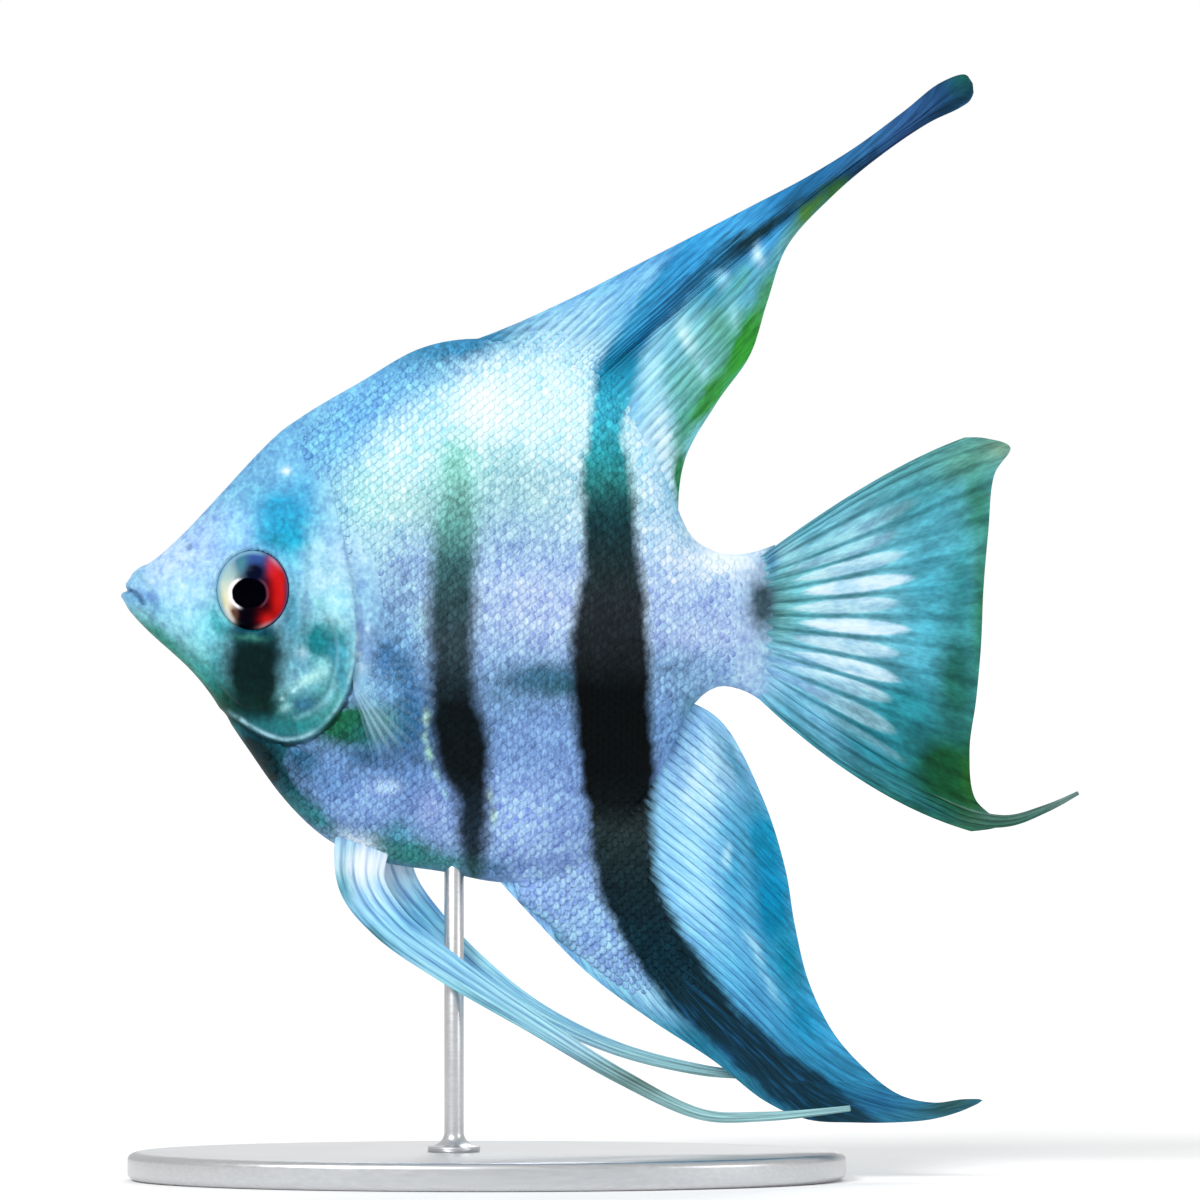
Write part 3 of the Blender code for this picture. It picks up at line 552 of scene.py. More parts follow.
body = {
    "snoutX": -58.8, "tailX": 21.3, "keel": 0.55, "coatDepth": 0.12, "around": 400,
    "topEdge": [
        (-58.8, 72), (-58.1, 73.1), (-57.6, 74.2), (-56.9, 74.9), (-55.2, 75.8), (-52.8, 77.8),
        (-46.7, 84.1), (-41.8, 89.4), (-39.3, 91.8), (-36.9, 93.5), (-29.5, 97.9), (-22.2, 102),
        (-14.8, 103.2), (-9.9, 102.6), (-5, 101), (-0.1, 97.8), (4.8, 92.1), (8.2, 85.8), (10.6, 79.8),
        (13.6, 77.3), (17, 76.8), (21.3, 77.9),
    ],
    "bottomEdge": [
        (-58.8, 70.8), (-57.1, 68.8), (-48.8, 60.6), (-43.8, 53.4), (-39.3, 47.1), (-33.8, 41.8),
        (-28.9, 39.5), (-18.5, 37.5), (-13.6, 36.5), (-8.7, 36.3), (-3.8, 37.7), (0.5, 41.1), (4.8, 46),
        (8.5, 52.1), (11.5, 58.2), (14, 60.2), (17, 60), (21.3, 57.3),
    ],
    "widest": [(-58.8, 71.4), (-50, 71.5), (-30, 67), (0, 67.5), (21.3, 67.6)],
    "halfWidth": [
        (-58.8, 0.5), (-57, 1.9), (-53, 3.2), (-48, 4.5), (-42, 5.4), (-35, 6.3), (-26, 6.7), (-16, 6.3),
        (-4, 5), (6, 3.5), (14, 2.3), (21.3, 0.6),
    ],
    "gillLine": [
        (-35.6, 99), (-33.6, 88), (-31.4, 78.4), (-29.9, 69.8), (-29.9, 63.7), (-31.4, 58.6), (-34.4, 55),
        (-37.8, 53.7), (-41.5, 54.6), (-44.8, 56.6), (-48.5, 58.6),
    ],
    "cheekLine": [(-36, 77.5), (-36.4, 70), (-37.3, 63), (-39.6, 58.6), (-43.4, 58.2),
                  (-47.5, 61.8), (-51, 66)],
    "mouthLine": [(-59.4, 72.3), (-58.2, 72.35), (-57.2, 72.1), (-56.4, 71.4), (-55.9, 70.6)],
    "lipFold": [(-56.6, 74.3), (-55.2, 72.6), (-54.5, 70.4), (-54.9, 68.3)],
    "jawFold": [(-56.9, 69.9), (-53, 67.2), (-49.6, 63.6), (-46.6, 59.8)],
    "innerGill": [(-37, 57.2), (-33.8, 59.4), (-32.6, 63.2), (-32.9, 67.6), (-34.4, 71)],
    # each crease: its shift off its line, its depth and width, and its painted shade and that shade's width
    "creases": {"cheekLine": (0.4, 0.14, 0.35, 0.25, 0.3), "innerGill": (0, 0.1, 0.28, 0.25, 0.25),
                "mouthLine": (0, 0.4, 0.19, 0.7, 0.22), "lipFold": (0, 0.2, 0.3, 0.25, 0.3),
                "jawFold": (0, 0.13, 0.35, 0, 1)},
    "nostril": (-50.4, 77.6), "snoutInset": 0.12, "snoutCap": 0.9, "snoutRings": 9,
    "headFrom": -57.75, "trunkFrom": -28.9, "headStep": 0.172, "trunkRings": 58,
    "gillStep": 0.45, "gillTrench": 0.34, "socket": 2.2,
}
eye = {"centre": (-42.5, 72.3), "radii": (4.4, 4.85), "sunk": 0.4, "bulge": 1.05, "around": 96, "rings": 40,
       "pupil": (-42.9, 71.9), "pupilRadii": (2.1, 1.84)}


# Half thickness of the flank = half width × (1 - share^p)^q + keel × √(1 - share⁸)
def fleshAt(x, rise):
    share, below = np.minimum(np.abs(rise), 1), rise < 0
    flesh = (1 - share ** np.where(below, 2.5, 2.1)) ** np.where(below, 0.72, 0.85)
    return alongX(body["halfWidth"], x) * flesh + body["keel"] * np.sqrt(1 - share**8)


def edgesAt(x):
    top, bottom = alongX(body["topEdge"], x), alongX(body["bottomEdge"], x)
    return top, np.clip(alongX(body["widest"], x), bottom, top), bottom


# The tail's stem thins to a fifth where the fin takes over
def wristThin(x):
    return 1 - 0.8 * ease(x, 16.5, 21.2)


# The same half thickness at a place of the side view, and 0 outside the body
def flankAt(x, z):
    top, middle, bottom = edgesAt(x)
    rise = (z - middle) / (np.where(z > middle, top - middle, middle - bottom) + 1e-6)
    return np.where(np.abs(rise) < 1, fleshAt(x, rise), 0)


# How far a place stands from the middle of the eye, 1 on its rim
def eyeShare(x, z):
    (cx, cz), (rx, rz) = eye["centre"], eye["radii"]
    return np.hypot((x - cx) / rx, (z - cz) / rz)


# Folds of the head, in millimetres out of the flank. The gill cover stands up at its free edge,
# falls off forwards as e^(-distance / 7) and has a trench behind it. Each crease lowers the skin
# by depth × e^(-(distance / width)²). The eye's place is sunk flat, with a low ring round it
def foldsAt(x, z):
    gill = -fromLine(x, z, body["gillLine"])
    low = (1 - ease(z, 77, 88)) * ease(x, -48.0, -43.5)
    step = body["gillStep"] * ease(gill, -0.12, 0.12) * np.exp(-np.maximum(gill, 0) / 7)
    fold = low * (step - body["gillTrench"] * bell(gill + 0.42, 0.4))
    cheek = fromLine(x, z, body["cheekLine"])
    fold += 0.16 * ease(-cheek, -0.25, 0.25) * np.exp(-np.abs(cheek) / 4)
    fold += 0.26 * bell(np.abs(fromLine(x, z, body["mouthLine"])) - 0.72, 0.42)
    for line, (shift, depth, width, _, _) in body["creases"].items():
        fold -= depth * bell(fromLine(x, z, body[line]) - shift, width)
    ring = eyeShare(x, z)
    fold += 0.26 * bell(ring - 1.1, 0.085) - 0.1 * bell(ring - 1.3, 0.1)
    pit = np.hypot(x - body["nostril"][0], z - body["nostril"][1])
    fold += -0.5 * bell(pit, 0.34) + 0.12 * bell(pit - 0.6, 0.25)
    socket = body["socket"]
    return np.where(ring < 1.06, (fold + socket) * ease(ring, 0.96, 1.03) - socket, fold)


def skinRings():
    start, capLength = body["snoutX"] + body["snoutInset"], body["snoutCap"]
    cap = capLength * (1 - np.cos(np.linspace(0.12, 1, body["snoutRings"]) * np.pi / 2))
    head = np.arange(body["headFrom"], body["trunkFrom"] - 0.1, body["headStep"])
    trunk = np.linspace(body["trunkFrom"], body["tailX"], body["trunkRings"])
    x = np.concatenate([start + cap, head, trunk])[:, None]
    angle = np.linspace(0, 2 * np.pi, body["around"], endpoint=False)[None, :]
    rise = np.cos(angle) + 0 * x
    top, middle, bottom = edgesAt(x)
    z = middle + np.where(rise > 0, top - middle, middle - bottom) * rise
    y = fleshAt(x + 0 * rise, rise) * np.sign(np.round(np.sin(angle), 6)) * wristThin(x)
    shrink = np.sqrt(1 - (1 - np.clip((x - start) / capLength, 0, 1)) ** 2)
    rings = np.stack([x + 0 * z, y * shrink, middle + (z - middle) * shrink], axis=-1)
    wrapped = np.concatenate([rings[:, -1:], rings, rings[:, :1]], axis=1)
    around = np.gradient(wrapped, axis=1)[:, 1:-1]
    along = np.gradient(rings, axis=0)
    out = np.cross(around, along)
    out /= np.linalg.norm(out, axis=-1, keepdims=True) + 1e-9
    out *= np.sign((out * (rings - rings.mean(axis=1, keepdims=True))).sum(axis=(0, 1, 2)))
    push = foldsAt(rings[..., 0], rings[..., 2]) - body["coatDepth"]
    return rings + out * push[..., None]


def skinMaterial():
    paint = Paint("skinPaint", Roughness=0.4, Specular_IOR_Level=0.07)
    place = paint.place()
    colour = markings(paint, place, 1.2)
    cells = paint.node("TexVoronoi", {"feature": "F1"}, {
        "Vector": paint.shift(place, (1.35, 1.0, 0.85), "MULTIPLY"), "Scale": 1000 / 0.8}, "Distance")
    grain = paint.noise(place, 0.5, 3.0)
    colour = paint.mottle(colour, paint.noise(place, 1.3, 3.0), 0.2)
    colour = paint.mottle(colour, grain, 0.16)
    colour = paint.vary(colour, (1 - cells).rise(0.2, 0.9), 0.1, 0.55)
    # painted highlight along the gill cover's free edge and the inner gill line, broken up by noise
    highlightBreakup = paint.noise(place, 1.8, 2.0).rise(0.35, 0.62)
    colour = paint.mix(paint.attribute("rimLight") * (highlightBreakup * 0.8 + 0.2), colour, tint(170, 222, 238))
    # painted shade: darker in the creases, the gill trench, the nostril and a ring round the eye
    colour = paint.mix(paint.attribute("hollow") * 0.75, colour, tint(24, 84, 104), "MULTIPLY")
    return paint.finish(colour, grain * 0.15 + 0.34, grain * 0.4 - cells, 0.16)


# Painted highlight along the free edge of the gill cover and the lip, and painted shade down in the folds
def foldValues(x, z):
    gill = -fromLine(x, z, body["gillLine"])
    low = (1 - ease(z, 74, 80)) * ease(x, -46.5, -43.5)
    light = 0.8 * bell(gill - 0.3, 0.26) * (1 - 0.8 * ease(z, 60, 68)) * low
    light = np.maximum(light, 0.22 * bell(fromLine(x, z, body["innerGill"]) + 0.45, 0.3))
    hollow = bell(gill + 0.3, 0.35) * low * (0.8 - 0.65 * ease(z, 60, 68))
    for line, (shift, _, _, shade, width) in body["creases"].items():
        hollow = np.maximum(hollow, shade * bell(fromLine(x, z, body[line]) - shift, width))
    hollow = np.maximum(hollow, 0.12 * bell(eyeShare(x, z) - 1.02, 0.04))
    pit = np.hypot(x - body["nostril"][0], z - body["nostril"][1])
    hollow = np.maximum(hollow, 0.6 * bell(pit, 0.35))
    return {"rimLight": light, "hollow": np.clip(hollow, 0, 1)}


shape = closedRings(skinRings())
skin = ("head", "lower_jaw", "gill_cover_left", "gill_cover_right", "trunk", "tail_stem")
piece("skin", shape, skinMaterial(), skin, values=foldValues(shape[0][:, 0], shape[0][:, 2]))
print("stage 2: skin ready")


# Scales

coat = {
    "columns": (-41.0, 24.0), "rows": (20.0, 108.0), "columnStep": 0.72, "rowStep": 1.1, "halves": -9,
    "length": 1.62, "width": 1.26, "spokes": 10, "innerRing": 0.62, "sunkEnd": -0.14, "freeEnd": 0.06,
    "crown": 0.03, "plate": 0.045, "sink": 0.3, "size": (0.94, 0.12), "jitter": 0.09, "edgeGap": 0.95,
    "dorsalReach": 4.0, "sheathHalf": 0.5, "patch": 0.003, "patchSheet": 110,
    "napeFront": [(76, -31), (79, -32), (82, -35.5), (86, -38), (90, -39.5), (96, -38)],
    "analFront": [(-13.6, 35.8), (-8.2, 30.9), (-1.5, 24.6), (6.2, 19.2), (13.8, 14.4)],
}


# Half thickness under the coat: the flank, or the fin's sheath where that is thicker
def underCoat(x, z):
    return np.maximum(flankAt(x, z) * wristThin(x) * (x < body["tailX"]), coat["sheathHalf"])


def slopeAt(edge, x, step=0.2):
    return (alongX(body[edge], x + step) - alongX(body[edge], x - step)) / (2 * step)


# Roots in columns, every second one shifted by half a row and kept where scales grow, with the
# size of each and its fade, from 0 to 1 at the borders of the coat
def scaleRoots():
    columns = np.arange(*coat["columns"], coat["columnStep"])
    rows = np.arange(*coat["rows"], coat["rowStep"])
    x, z = np.meshgrid(columns, rows, indexing="ij")
    z = z + coat["rowStep"] / 2 * (np.arange(len(columns)) % 2)[:, None]
    x, z = x.ravel(), z.ravel()
    chance = dice.uniform(0, 1, len(x))
    top, _, bottom = edgesAt(x)
    over = (z - top) / np.hypot(1, slopeAt("topEdge", x)) + coat["edgeGap"]
    under = (bottom - z) / np.hypot(1, slopeAt("bottomEdge", x)) + coat["edgeGap"]
    reach = coat["dorsalReach"] * ease(x, -14, -5) * (1 - ease(x, 1.5, 4.5)) + 0.01
    fade = np.clip(over / reach, 0, 1)
    barX = byTable(z, bars["secondMiddle"])
    onAnal = (x > -9.8) & (x < barX + 2.5) & (z > 21) & (fromLine(x, z, coat["analFront"]) > 1.5)
    fade = np.where(under > 0, np.where(onAnal, 1 - ease(z, 21, 31), 1.0), fade)
    gill = fromLine(x, z, body["gillLine"])
    nape = x - byTable(z, coat["napeFront"])
    hem = 0.4 + 2.4 * ease(z, 60, 70)
    front = np.where(z > 77, 1 - ease(nape, -1.5, 3.0), 1 - ease(gill, 0.7, 0.7 + hem))
    front = np.where((z <= 77) & (gill < 0.7), 1.0, front)
    fade = np.maximum(fade, np.maximum(front, ease(x, 15.0, 20.5)))
    keep = (fade < 0.8 + 0.15 * chance) & (fade < 1)
    x, z, fade = x[keep], z[keep], fade[keep]
    least, spread = coat["size"]
    size = (1 - 0.3 * fade) * (least + spread * dice.uniform(0, 1, len(x)))
    jitter = dice.uniform(-coat["jitter"], coat["jitter"], (2, len(x)))
    return x + jitter[0], z + jitter[1], size, fade


# Arc lengths of the flank's own surface from its front and from its foot, as shares of one sheet
def unwrap(x, z):
    xs, zs = np.linspace(-60, 22, 160), np.linspace(18, 106, 260)
    depth = flankAt(*np.meshgrid(xs, zs, indexing="ij"))
    stepX, stepZ = xs[1] - xs[0], zs[1] - zs[0]
    lengthX = np.concatenate([[0], np.cumsum(np.hypot(stepX, np.diff(depth.max(axis=1))))])
    lengthZ = np.zeros_like(depth)
    lengthZ[:, 1:] = np.cumsum(np.hypot(stepZ, np.diff(depth, axis=1)), axis=1)
    i, j = (x - xs[0]) / stepX, (z - zs[0]) / stepZ
    i0, j0 = np.clip(i.astype(int), 0, len(xs) - 2), np.clip(j.astype(int), 0, len(zs) - 2)
    alongRow = [lengthZ[i0, k] * (1 - i + i0) + lengthZ[i0 + 1, k] * (i - i0) for k in (j0, j0 + 1)]
    up = alongRow[0] * (1 - j + j0) + alongRow[1] * (j - j0)
    return np.stack([np.interp(x, xs, lengthX), up], axis=-1) / coat["patchSheet"]


# A scale is a shallow dome on an oval, sunk at its root and free at its tail end
def scaleSide(rootX, rootZ, size, fade, side):
    spokes = coat["spokes"]
    turn = np.arange(spokes) * 2 * np.pi / spokes
    ring = np.stack([np.cos(turn), np.sin(turn) * (1 - 0.08 * np.cos(turn))], axis=1)
    local = np.concatenate([[[0.0, 0.0]], ring * coat["innerRing"], ring, ring])
    lower = np.arange(len(local)) > 2 * spokes
    top, _, bottom = edgesAt(rootX)
    lie = 0.75 * ease(rootZ, top - 9, top + 1) - 0.8 * (1 - ease(rootZ, bottom - 3, bottom + 9))
    lie *= ease(rootX, -20, -4)
    size = size * (1 - 0.18 * ease(rootX, 8, 20))
    along = local[None, :, 0] * (coat["length"] / 2 * size)[:, None]
    across = local[None, :, 1] * (coat["width"] / 2 * size)[:, None]
    x = rootX[:, None] + along * np.cos(lie)[:, None] - across * np.sin(lie)[:, None]
    z = rootZ[:, None] + along * np.sin(lie)[:, None] + across * np.cos(lie)[:, None]
    rim = np.hypot(local[:, 0], local[:, 1])
    share = (local[:, 0] + 1) / 2
    height = coat["sunkEnd"] + (coat["freeEnd"] - coat["sunkEnd"]) * share**0.8
    height += coat["crown"] * (1 - rim**2) - coat["plate"] * lower
    depth = underCoat(x, z) - body["coatDepth"] - coat["sink"] * fade[:, None]
    y = side * (depth + height[None, :]) + sway(x, z)
    count, points = len(rootX), len(local)
    base = (np.arange(count) * points)[:, None]
    a = np.arange(spokes) + 1
    b = a % spokes + 1
    fan = np.stack([0 * a, a, b], axis=1)
    dome = np.stack([a, spokes + a, spokes + b, b], axis=1)
    underside = (2 * spokes + a)[::-1][None, :]
    parts = (fan, dome, dome + spokes, underside)
    faces = [(f.ravel()[None, :] + base).reshape(-1, f.shape[1]) for f in parts]
    uv = unwrap(rootX, rootZ)[:, None, :] + local[None] * coat["patch"] / 2
    tone = 0.55 + (dice.uniform(0, 1, count) - 0.55) * (1 - fade)
    root = np.stack([rootX, 0 * rootX, rootZ], axis=-1) * mm
    values = {
        "root": np.repeat(root, points, axis=0), "tone": np.repeat(tone, points),
        "across": np.tile(local[:, 1], count),
    }
    return (np.stack([x, y, z], axis=-1).reshape(-1, 3), faces), uv, values


def scaleMaterial():
    paint = Paint("scalePaint", Roughness=0.38, Specular_IOR_Level=0.06)
    place, root = paint.place(), paint.attribute("root", "Vector")
    tone, across = paint.attribute("tone"), paint.attribute("across")
    colour = markings(paint, place, 1.4)
    broad = paint.noise(root, 2.4, 2.0)
    colour = paint.vary(colour, tone * 0.6 + broad.rise(0.3, 0.7) * 0.4, 0.3, 0.55)
    # the scales darken towards their sides: painted shade in the slits between neighbouring scales
    colour = paint.mix(abs(across).rise(0.4, 1.0) * 0.1, colour, tint(96, 132, 176), "MULTIPLY")
    fine = paint.noise(paint.shift(place, (1.0, 1.0, 0.45), "MULTIPLY"), 0.4, 3.0)
    colour = paint.mottle(colour, fine, 0.34)
    return paint.finish(colour, fine * 0.2 + 0.3, fine, 0.1)


roots = scaleRoots()
scalePaint = scaleMaterial()
for name, side in sides:
    for half, chosen in (("front", roots[0] < coat["halves"]), ("rear", roots[0] >= coat["halves"])):
        shape, uv, values = scaleSide(*(column[chosen] for column in roots), side)
        piece(f"scales_{half}_{name}", shape, scalePaint, (), uv, "OFBake", values)
print("stage 3: scales ready,", len(roots[0]), "a side")


# Eyes

# The ball is a low dome set into the flank, closed behind by a shallow bowl
def eyeBall(side):
    (cx, cz), (rx, rz) = eye["centre"], eye["radii"]
    turn = np.linspace(0, 2 * np.pi, eye["around"], endpoint=False)[None, :]
    back = [0.97, 0.8, 0.5, 0.1]
    out = np.concatenate([np.linspace(0.02, 1, eye["rings"]) ** 0.8, back])[:, None]
    front = (np.arange(len(out)) < eye["rings"])[:, None]
    x, z = cx + rx * out * np.cos(turn), cz + rz * out * np.sin(turn)
    dome = np.maximum(1 - out**2, 0) ** 0.72
    iris = bell(out - 0.47, 0.05) * 0.05 - 0.06 * bell(out, 0.33)
    y = flankAt(x, z) - eye["sunk"] + np.where(front, eye["bulge"] * dome + iris, -0.5 - 1.2 * dome)
    flat = np.stack([out * np.cos(turn), out * np.sin(turn)], axis=-1).reshape(-1, 2)
    uv = np.concatenate([flat, np.zeros((2, 2))]) * 0.5 + 0.5
    return closedRings(np.stack([x, side * y, z], axis=-1)), uv


def eyeMaterial():
    paint = Paint("eyePaint", Roughness=0.15, Specular_IOR_Level=0.01)
    place = paint.place()
    wobble = paint.wander(place, 1.2)
    loose = paint.stray(place, wobble, 0.45)
    base = paint.bands(paint.part(loose, "X"), [
        (-47, 120, 170, 176), (-46.5, 170, 190, 166), (-45.9, 232, 228, 192), (-45, 236, 222, 206),
        (-44.5, 120, 100, 96), (-44, 14, 12, 22), (-41.5, 6, 4, 12), (-40.8, 44, 4, 14),
        (-40.2, 130, 10, 14), (-39.6, 186, 20, 20), (-38.9, 206, 26, 26), (-38.4, 150, 40, 56),
        (-38, 110, 90, 140)])
    # the pink strips at x -39.8, z 76.1 and x -40.8, z 67.9 are painted highlights on the rim of the red
    # iris
    colour = paint.blots(loose, base, [
        (-45.9, 74.9, 2.2, 1.9, 1.5, 158, 190, 190, 50), (-46.2, 73, 0.8, 0.9, 0.8, 190, 206, 190),
        (-39.9, 74.8, 0.9, 1.4, 1.2, 200, 26, 24, 24), (-39.8, 76.1, 1.2, 0.45, 0.9, 226, 150, 168, -48),
        (-42.8, 76.4, 1.8, 1.8, 1.7, 54, 88, 156), (-42.3, 74.4, 1.2, 1.2, 1.5, 8, 12, 36),
        (-43.9, 75.6, 0.7, 1.2, 1, 64, 126, 138, -10), (-42.9, 68.6, 1.7, 1.6, 1.6, 3, 2, 10),
        (-41.2, 70.2, 0.9, 1.2, 0.9, 40, 2, 8, 30), (-40.6, 68.6, 0.9, 0.9, 1.2, 190, 22, 22, 30),
        (-40.8, 67.9, 1.3, 0.35, 0.8, 222, 150, 150, 25), (-44.8, 69.5, 0.45, 0.8, 1.1, 92, 52, 34, 20),
        (-45.5, 69.4, 0.35, 1.3, 0.8, 232, 222, 206, 25), (-46.3, 70.6, 0.6, 1, 0.7, 170, 176, 140),
    ])
    (pupilX, pupilZ), (wide, high) = eye["pupil"], eye["pupilRadii"]
    local = paint.shift(place, (pupilX * mm, 0, pupilZ * mm), "SUBTRACT")
    local = paint.stray(local, wobble, 0.3)
    flat = paint.shift(local, (1 / (wide * mm), 0, 1 / (high * mm)), "MULTIPLY")
    far = paint.node("VectorMath", {"operation": "LENGTH"}, {0: flat}, 1)
    x, z = paint.part(flat, "X"), paint.part(flat, "Z")
    # painted highlight: a white crescent hugging the pupil on its front side
    pale = abs(far - 1.1).rise(0.2, 0.02) * x.rise(-0.3, -0.7) * z.rise(1.1, 0.8) * z.rise(-1.2, -0.8)
    colour = paint.mix(pale, colour, tint(244, 240, 246))
    dusk = abs(far - 1.1).rise(0.14, 0.02) * x.rise(0.5, 0.9)
    colour = paint.mix(dusk * 0.5, colour, tint(120, 60, 84))
    colour = paint.mix(far.rise(1.04, 0.96), colour, tint(0, 0, 5))
    (cx, cz), (rx, rz) = eye["centre"], eye["radii"]
    values = {"Vector": place, "Location": (cx * mm, 0, cz * mm), "Scale": (rx * mm, 100, rz * mm)}
    oval = paint.node("Mapping", {"vector_type": "TEXTURE"}, values)
    rim = paint.node("VectorMath", {"operation": "LENGTH"}, {0: oval}, 1)
    back = paint.part(local, "X").rise(0.8 * mm, 2.6 * mm)
    colour = paint.mix(rim.rise(0.92, 1.0) * back * 0.6, colour, tint(120, 96, 150))
    front = rim.rise(0.84, 0.98) * (1 - back) * z.rise(-2.1, -0.9)
    colour = paint.mix(front * 0.9, colour, tint(132, 178, 200))
    return paint.finish(colour)


eyePaint = eyeMaterial()
for name, side in sides:
    shape, uv = eyeBall(side)
    piece("eyeball_" + name, shape, eyePaint, ("eye_" + name,), uv)
print("stage 4: eyes ready")


# Dorsal and anal fins

dorsal = {
    "rungs": [
        ((-22, 102.3), (-0.5, 98.3), (10.6, 80.2)), ((-12.5, 105.1), (4.3, 102.6), (10.9, 88.6)),
        ((-3.6, 108.7), (9, 106.4), (14.6, 95.6)), ((4.6, 112.6), (13.4, 110), (18.5, 101.3)),
        ((12, 116.2), (17.6, 113.5), (20.5, 107.7)), ((19, 119.7), (22, 117.3), (22.9, 114.5)),
        ((25.2, 122.9), (27.1, 121.4), (28.2, 120.4)), ((31.4, 126.7), (32.8, 125.6), (34, 125.3)),
        ((37.2, 131), (38.6, 129.8), (40, 129.4)), ((41.4, 134.3), (42.6, 132.9), (43.9, 131.3)),
        ((44.3, 135.4), (44.9, 134.3), (45.3, 132.4)), ((45.1, 135), (45.5, 134.3), (45.7, 133.5)),
    ],
    "rays": 46, "spread": 1.5, "frontCut": 2.6, "rearCut": 1.8, "edge": "topEdge", "outward": 1,
}
anal = {
    "rungs": [
        ((-13.6, 36.2), (1, 41.8), (11.4, 57.9)), ((-8.2, 30.9), (6.2, 34.4), (15.9, 55.1)),
        ((-1.5, 24.6), (10.8, 27.8), (20.3, 46.3)), ((6.2, 19.2), (15.6, 22.3), (22.8, 38)),
        ((13.8, 14.4), (20, 17.8), (23.9, 31)), ((20, 9.6), (24, 14.2), (25.6, 24)),
        ((25.4, 7.3), (27.8, 11.8), (28.6, 17.9)), ((31, 6.95), (31.9, 10), (32.7, 13.3)),
        ((36, 6.95), (36.3, 8.8), (36.6, 10.4)), ((40.4, 7.3), (40.6, 8.3), (40.8, 9.4)),
        ((44, 8.25), (44.2, 9), (44.4, 9.8)), ((46.8, 9.5), (46.85, 9.65), (46.9, 9.8)),
    ],
    "rays": 52, "spread": 1.4, "frontCut": 2.2, "rearCut": 2.0, "edge": "bottomEdge", "outward": -1,
}
web = {"perRay": 6, "places": 130, "sunk": 1.3, "crowding": 1.25, "membrane": 0.15, "ray": 0.24,
       "rim": 0.07}


# Places on a line that follows the body's edge at a distance
def rimFeet(edge, x, away):
    slope = slopeAt(edge, x, 0.05)
    size = np.sqrt(1 + slope**2)
    return np.stack([x - away * slope / size, alongX(body[edge], x) + away / size], axis=-1)


# Each rung is a parabola through its three points. A ray at share s of the way from the middle
# to a margin stands, at height t up the rungs, at s / (1 - t)^cut, and ends where that is 1, so
# the middle rays alone reach the streamer's tip. The crowding sets more columns in the middle
def streamerGrid(fin):
    count = fin["rays"] * web["perRay"] + 1
    q = np.linspace(-1, 1, count)[:, None]
    q = np.sign(q) * np.abs(q) ** web["crowding"]
    cut = np.where(q < 0, fin["frontCut"], fin["rearCut"])
    s = np.abs(q) ** (fin["spread"] * cut / 2)
    end = 1 - s ** (1 / cut)
    out = np.linspace(0, 1, web["places"])[None, :]
    t = out * end
    m = 0.5 + 0.5 * np.sign(q) * np.clip(s / np.maximum(1 - t, 1e-6) ** cut, 0, 1)
    rungs = np.reshape(fin["rungs"], (-1, 6))
    rows = through(rungs, t.ravel(), width=6).reshape(*t.shape, 6)
    k = m[..., None]
    shares = [(1 - k) * (1 - 2 * k), 4 * k * (1 - k), k * (2 * k - 1)]
    flat, first = (sum(share * line[..., 2 * i:2 * i + 2] for i, share in enumerate(shares))
                   for line in (rows, rungs[0]))
    foot = rimFeet(fin["edge"], first[..., 0], -fin["outward"] * web["sunk"])
    flat = flat + ((1 - t) ** 4)[..., None] * (foot - first)
    x, z = flat[..., 0], flat[..., 1]
    number = (q + 1) / 2 * fin["rays"] + 0 * out
    return np.stack([x, sway(x, z), z], axis=-1), number, out + 0 * q


# Half thickness: a thin web and a rounded ray on each whole number, forking past mid length,
# then blended into its thickness at the foot, and all of it times a share
def webHalf(number, out, thin=1.0, foot=0.4):
    whole = np.cos(np.pi * number) ** 4
    split = np.cos(2 * np.pi * number) ** 2 * 0.8
    ridge = whole + (split - whole) * ease(out, 0.4, 0.75)
    taper = 1 - 0.72 * out
    half = web["membrane"] + web["ray"] * ridge
    half = half * taper + (foot - half * taper) * (1 - ease(out, 0.0, 0.1)) * 0.7
    return (web["rim"] + (half - web["rim"]) * (1 - ease(out, 0.93, 1.0) * 0.8)) * thin


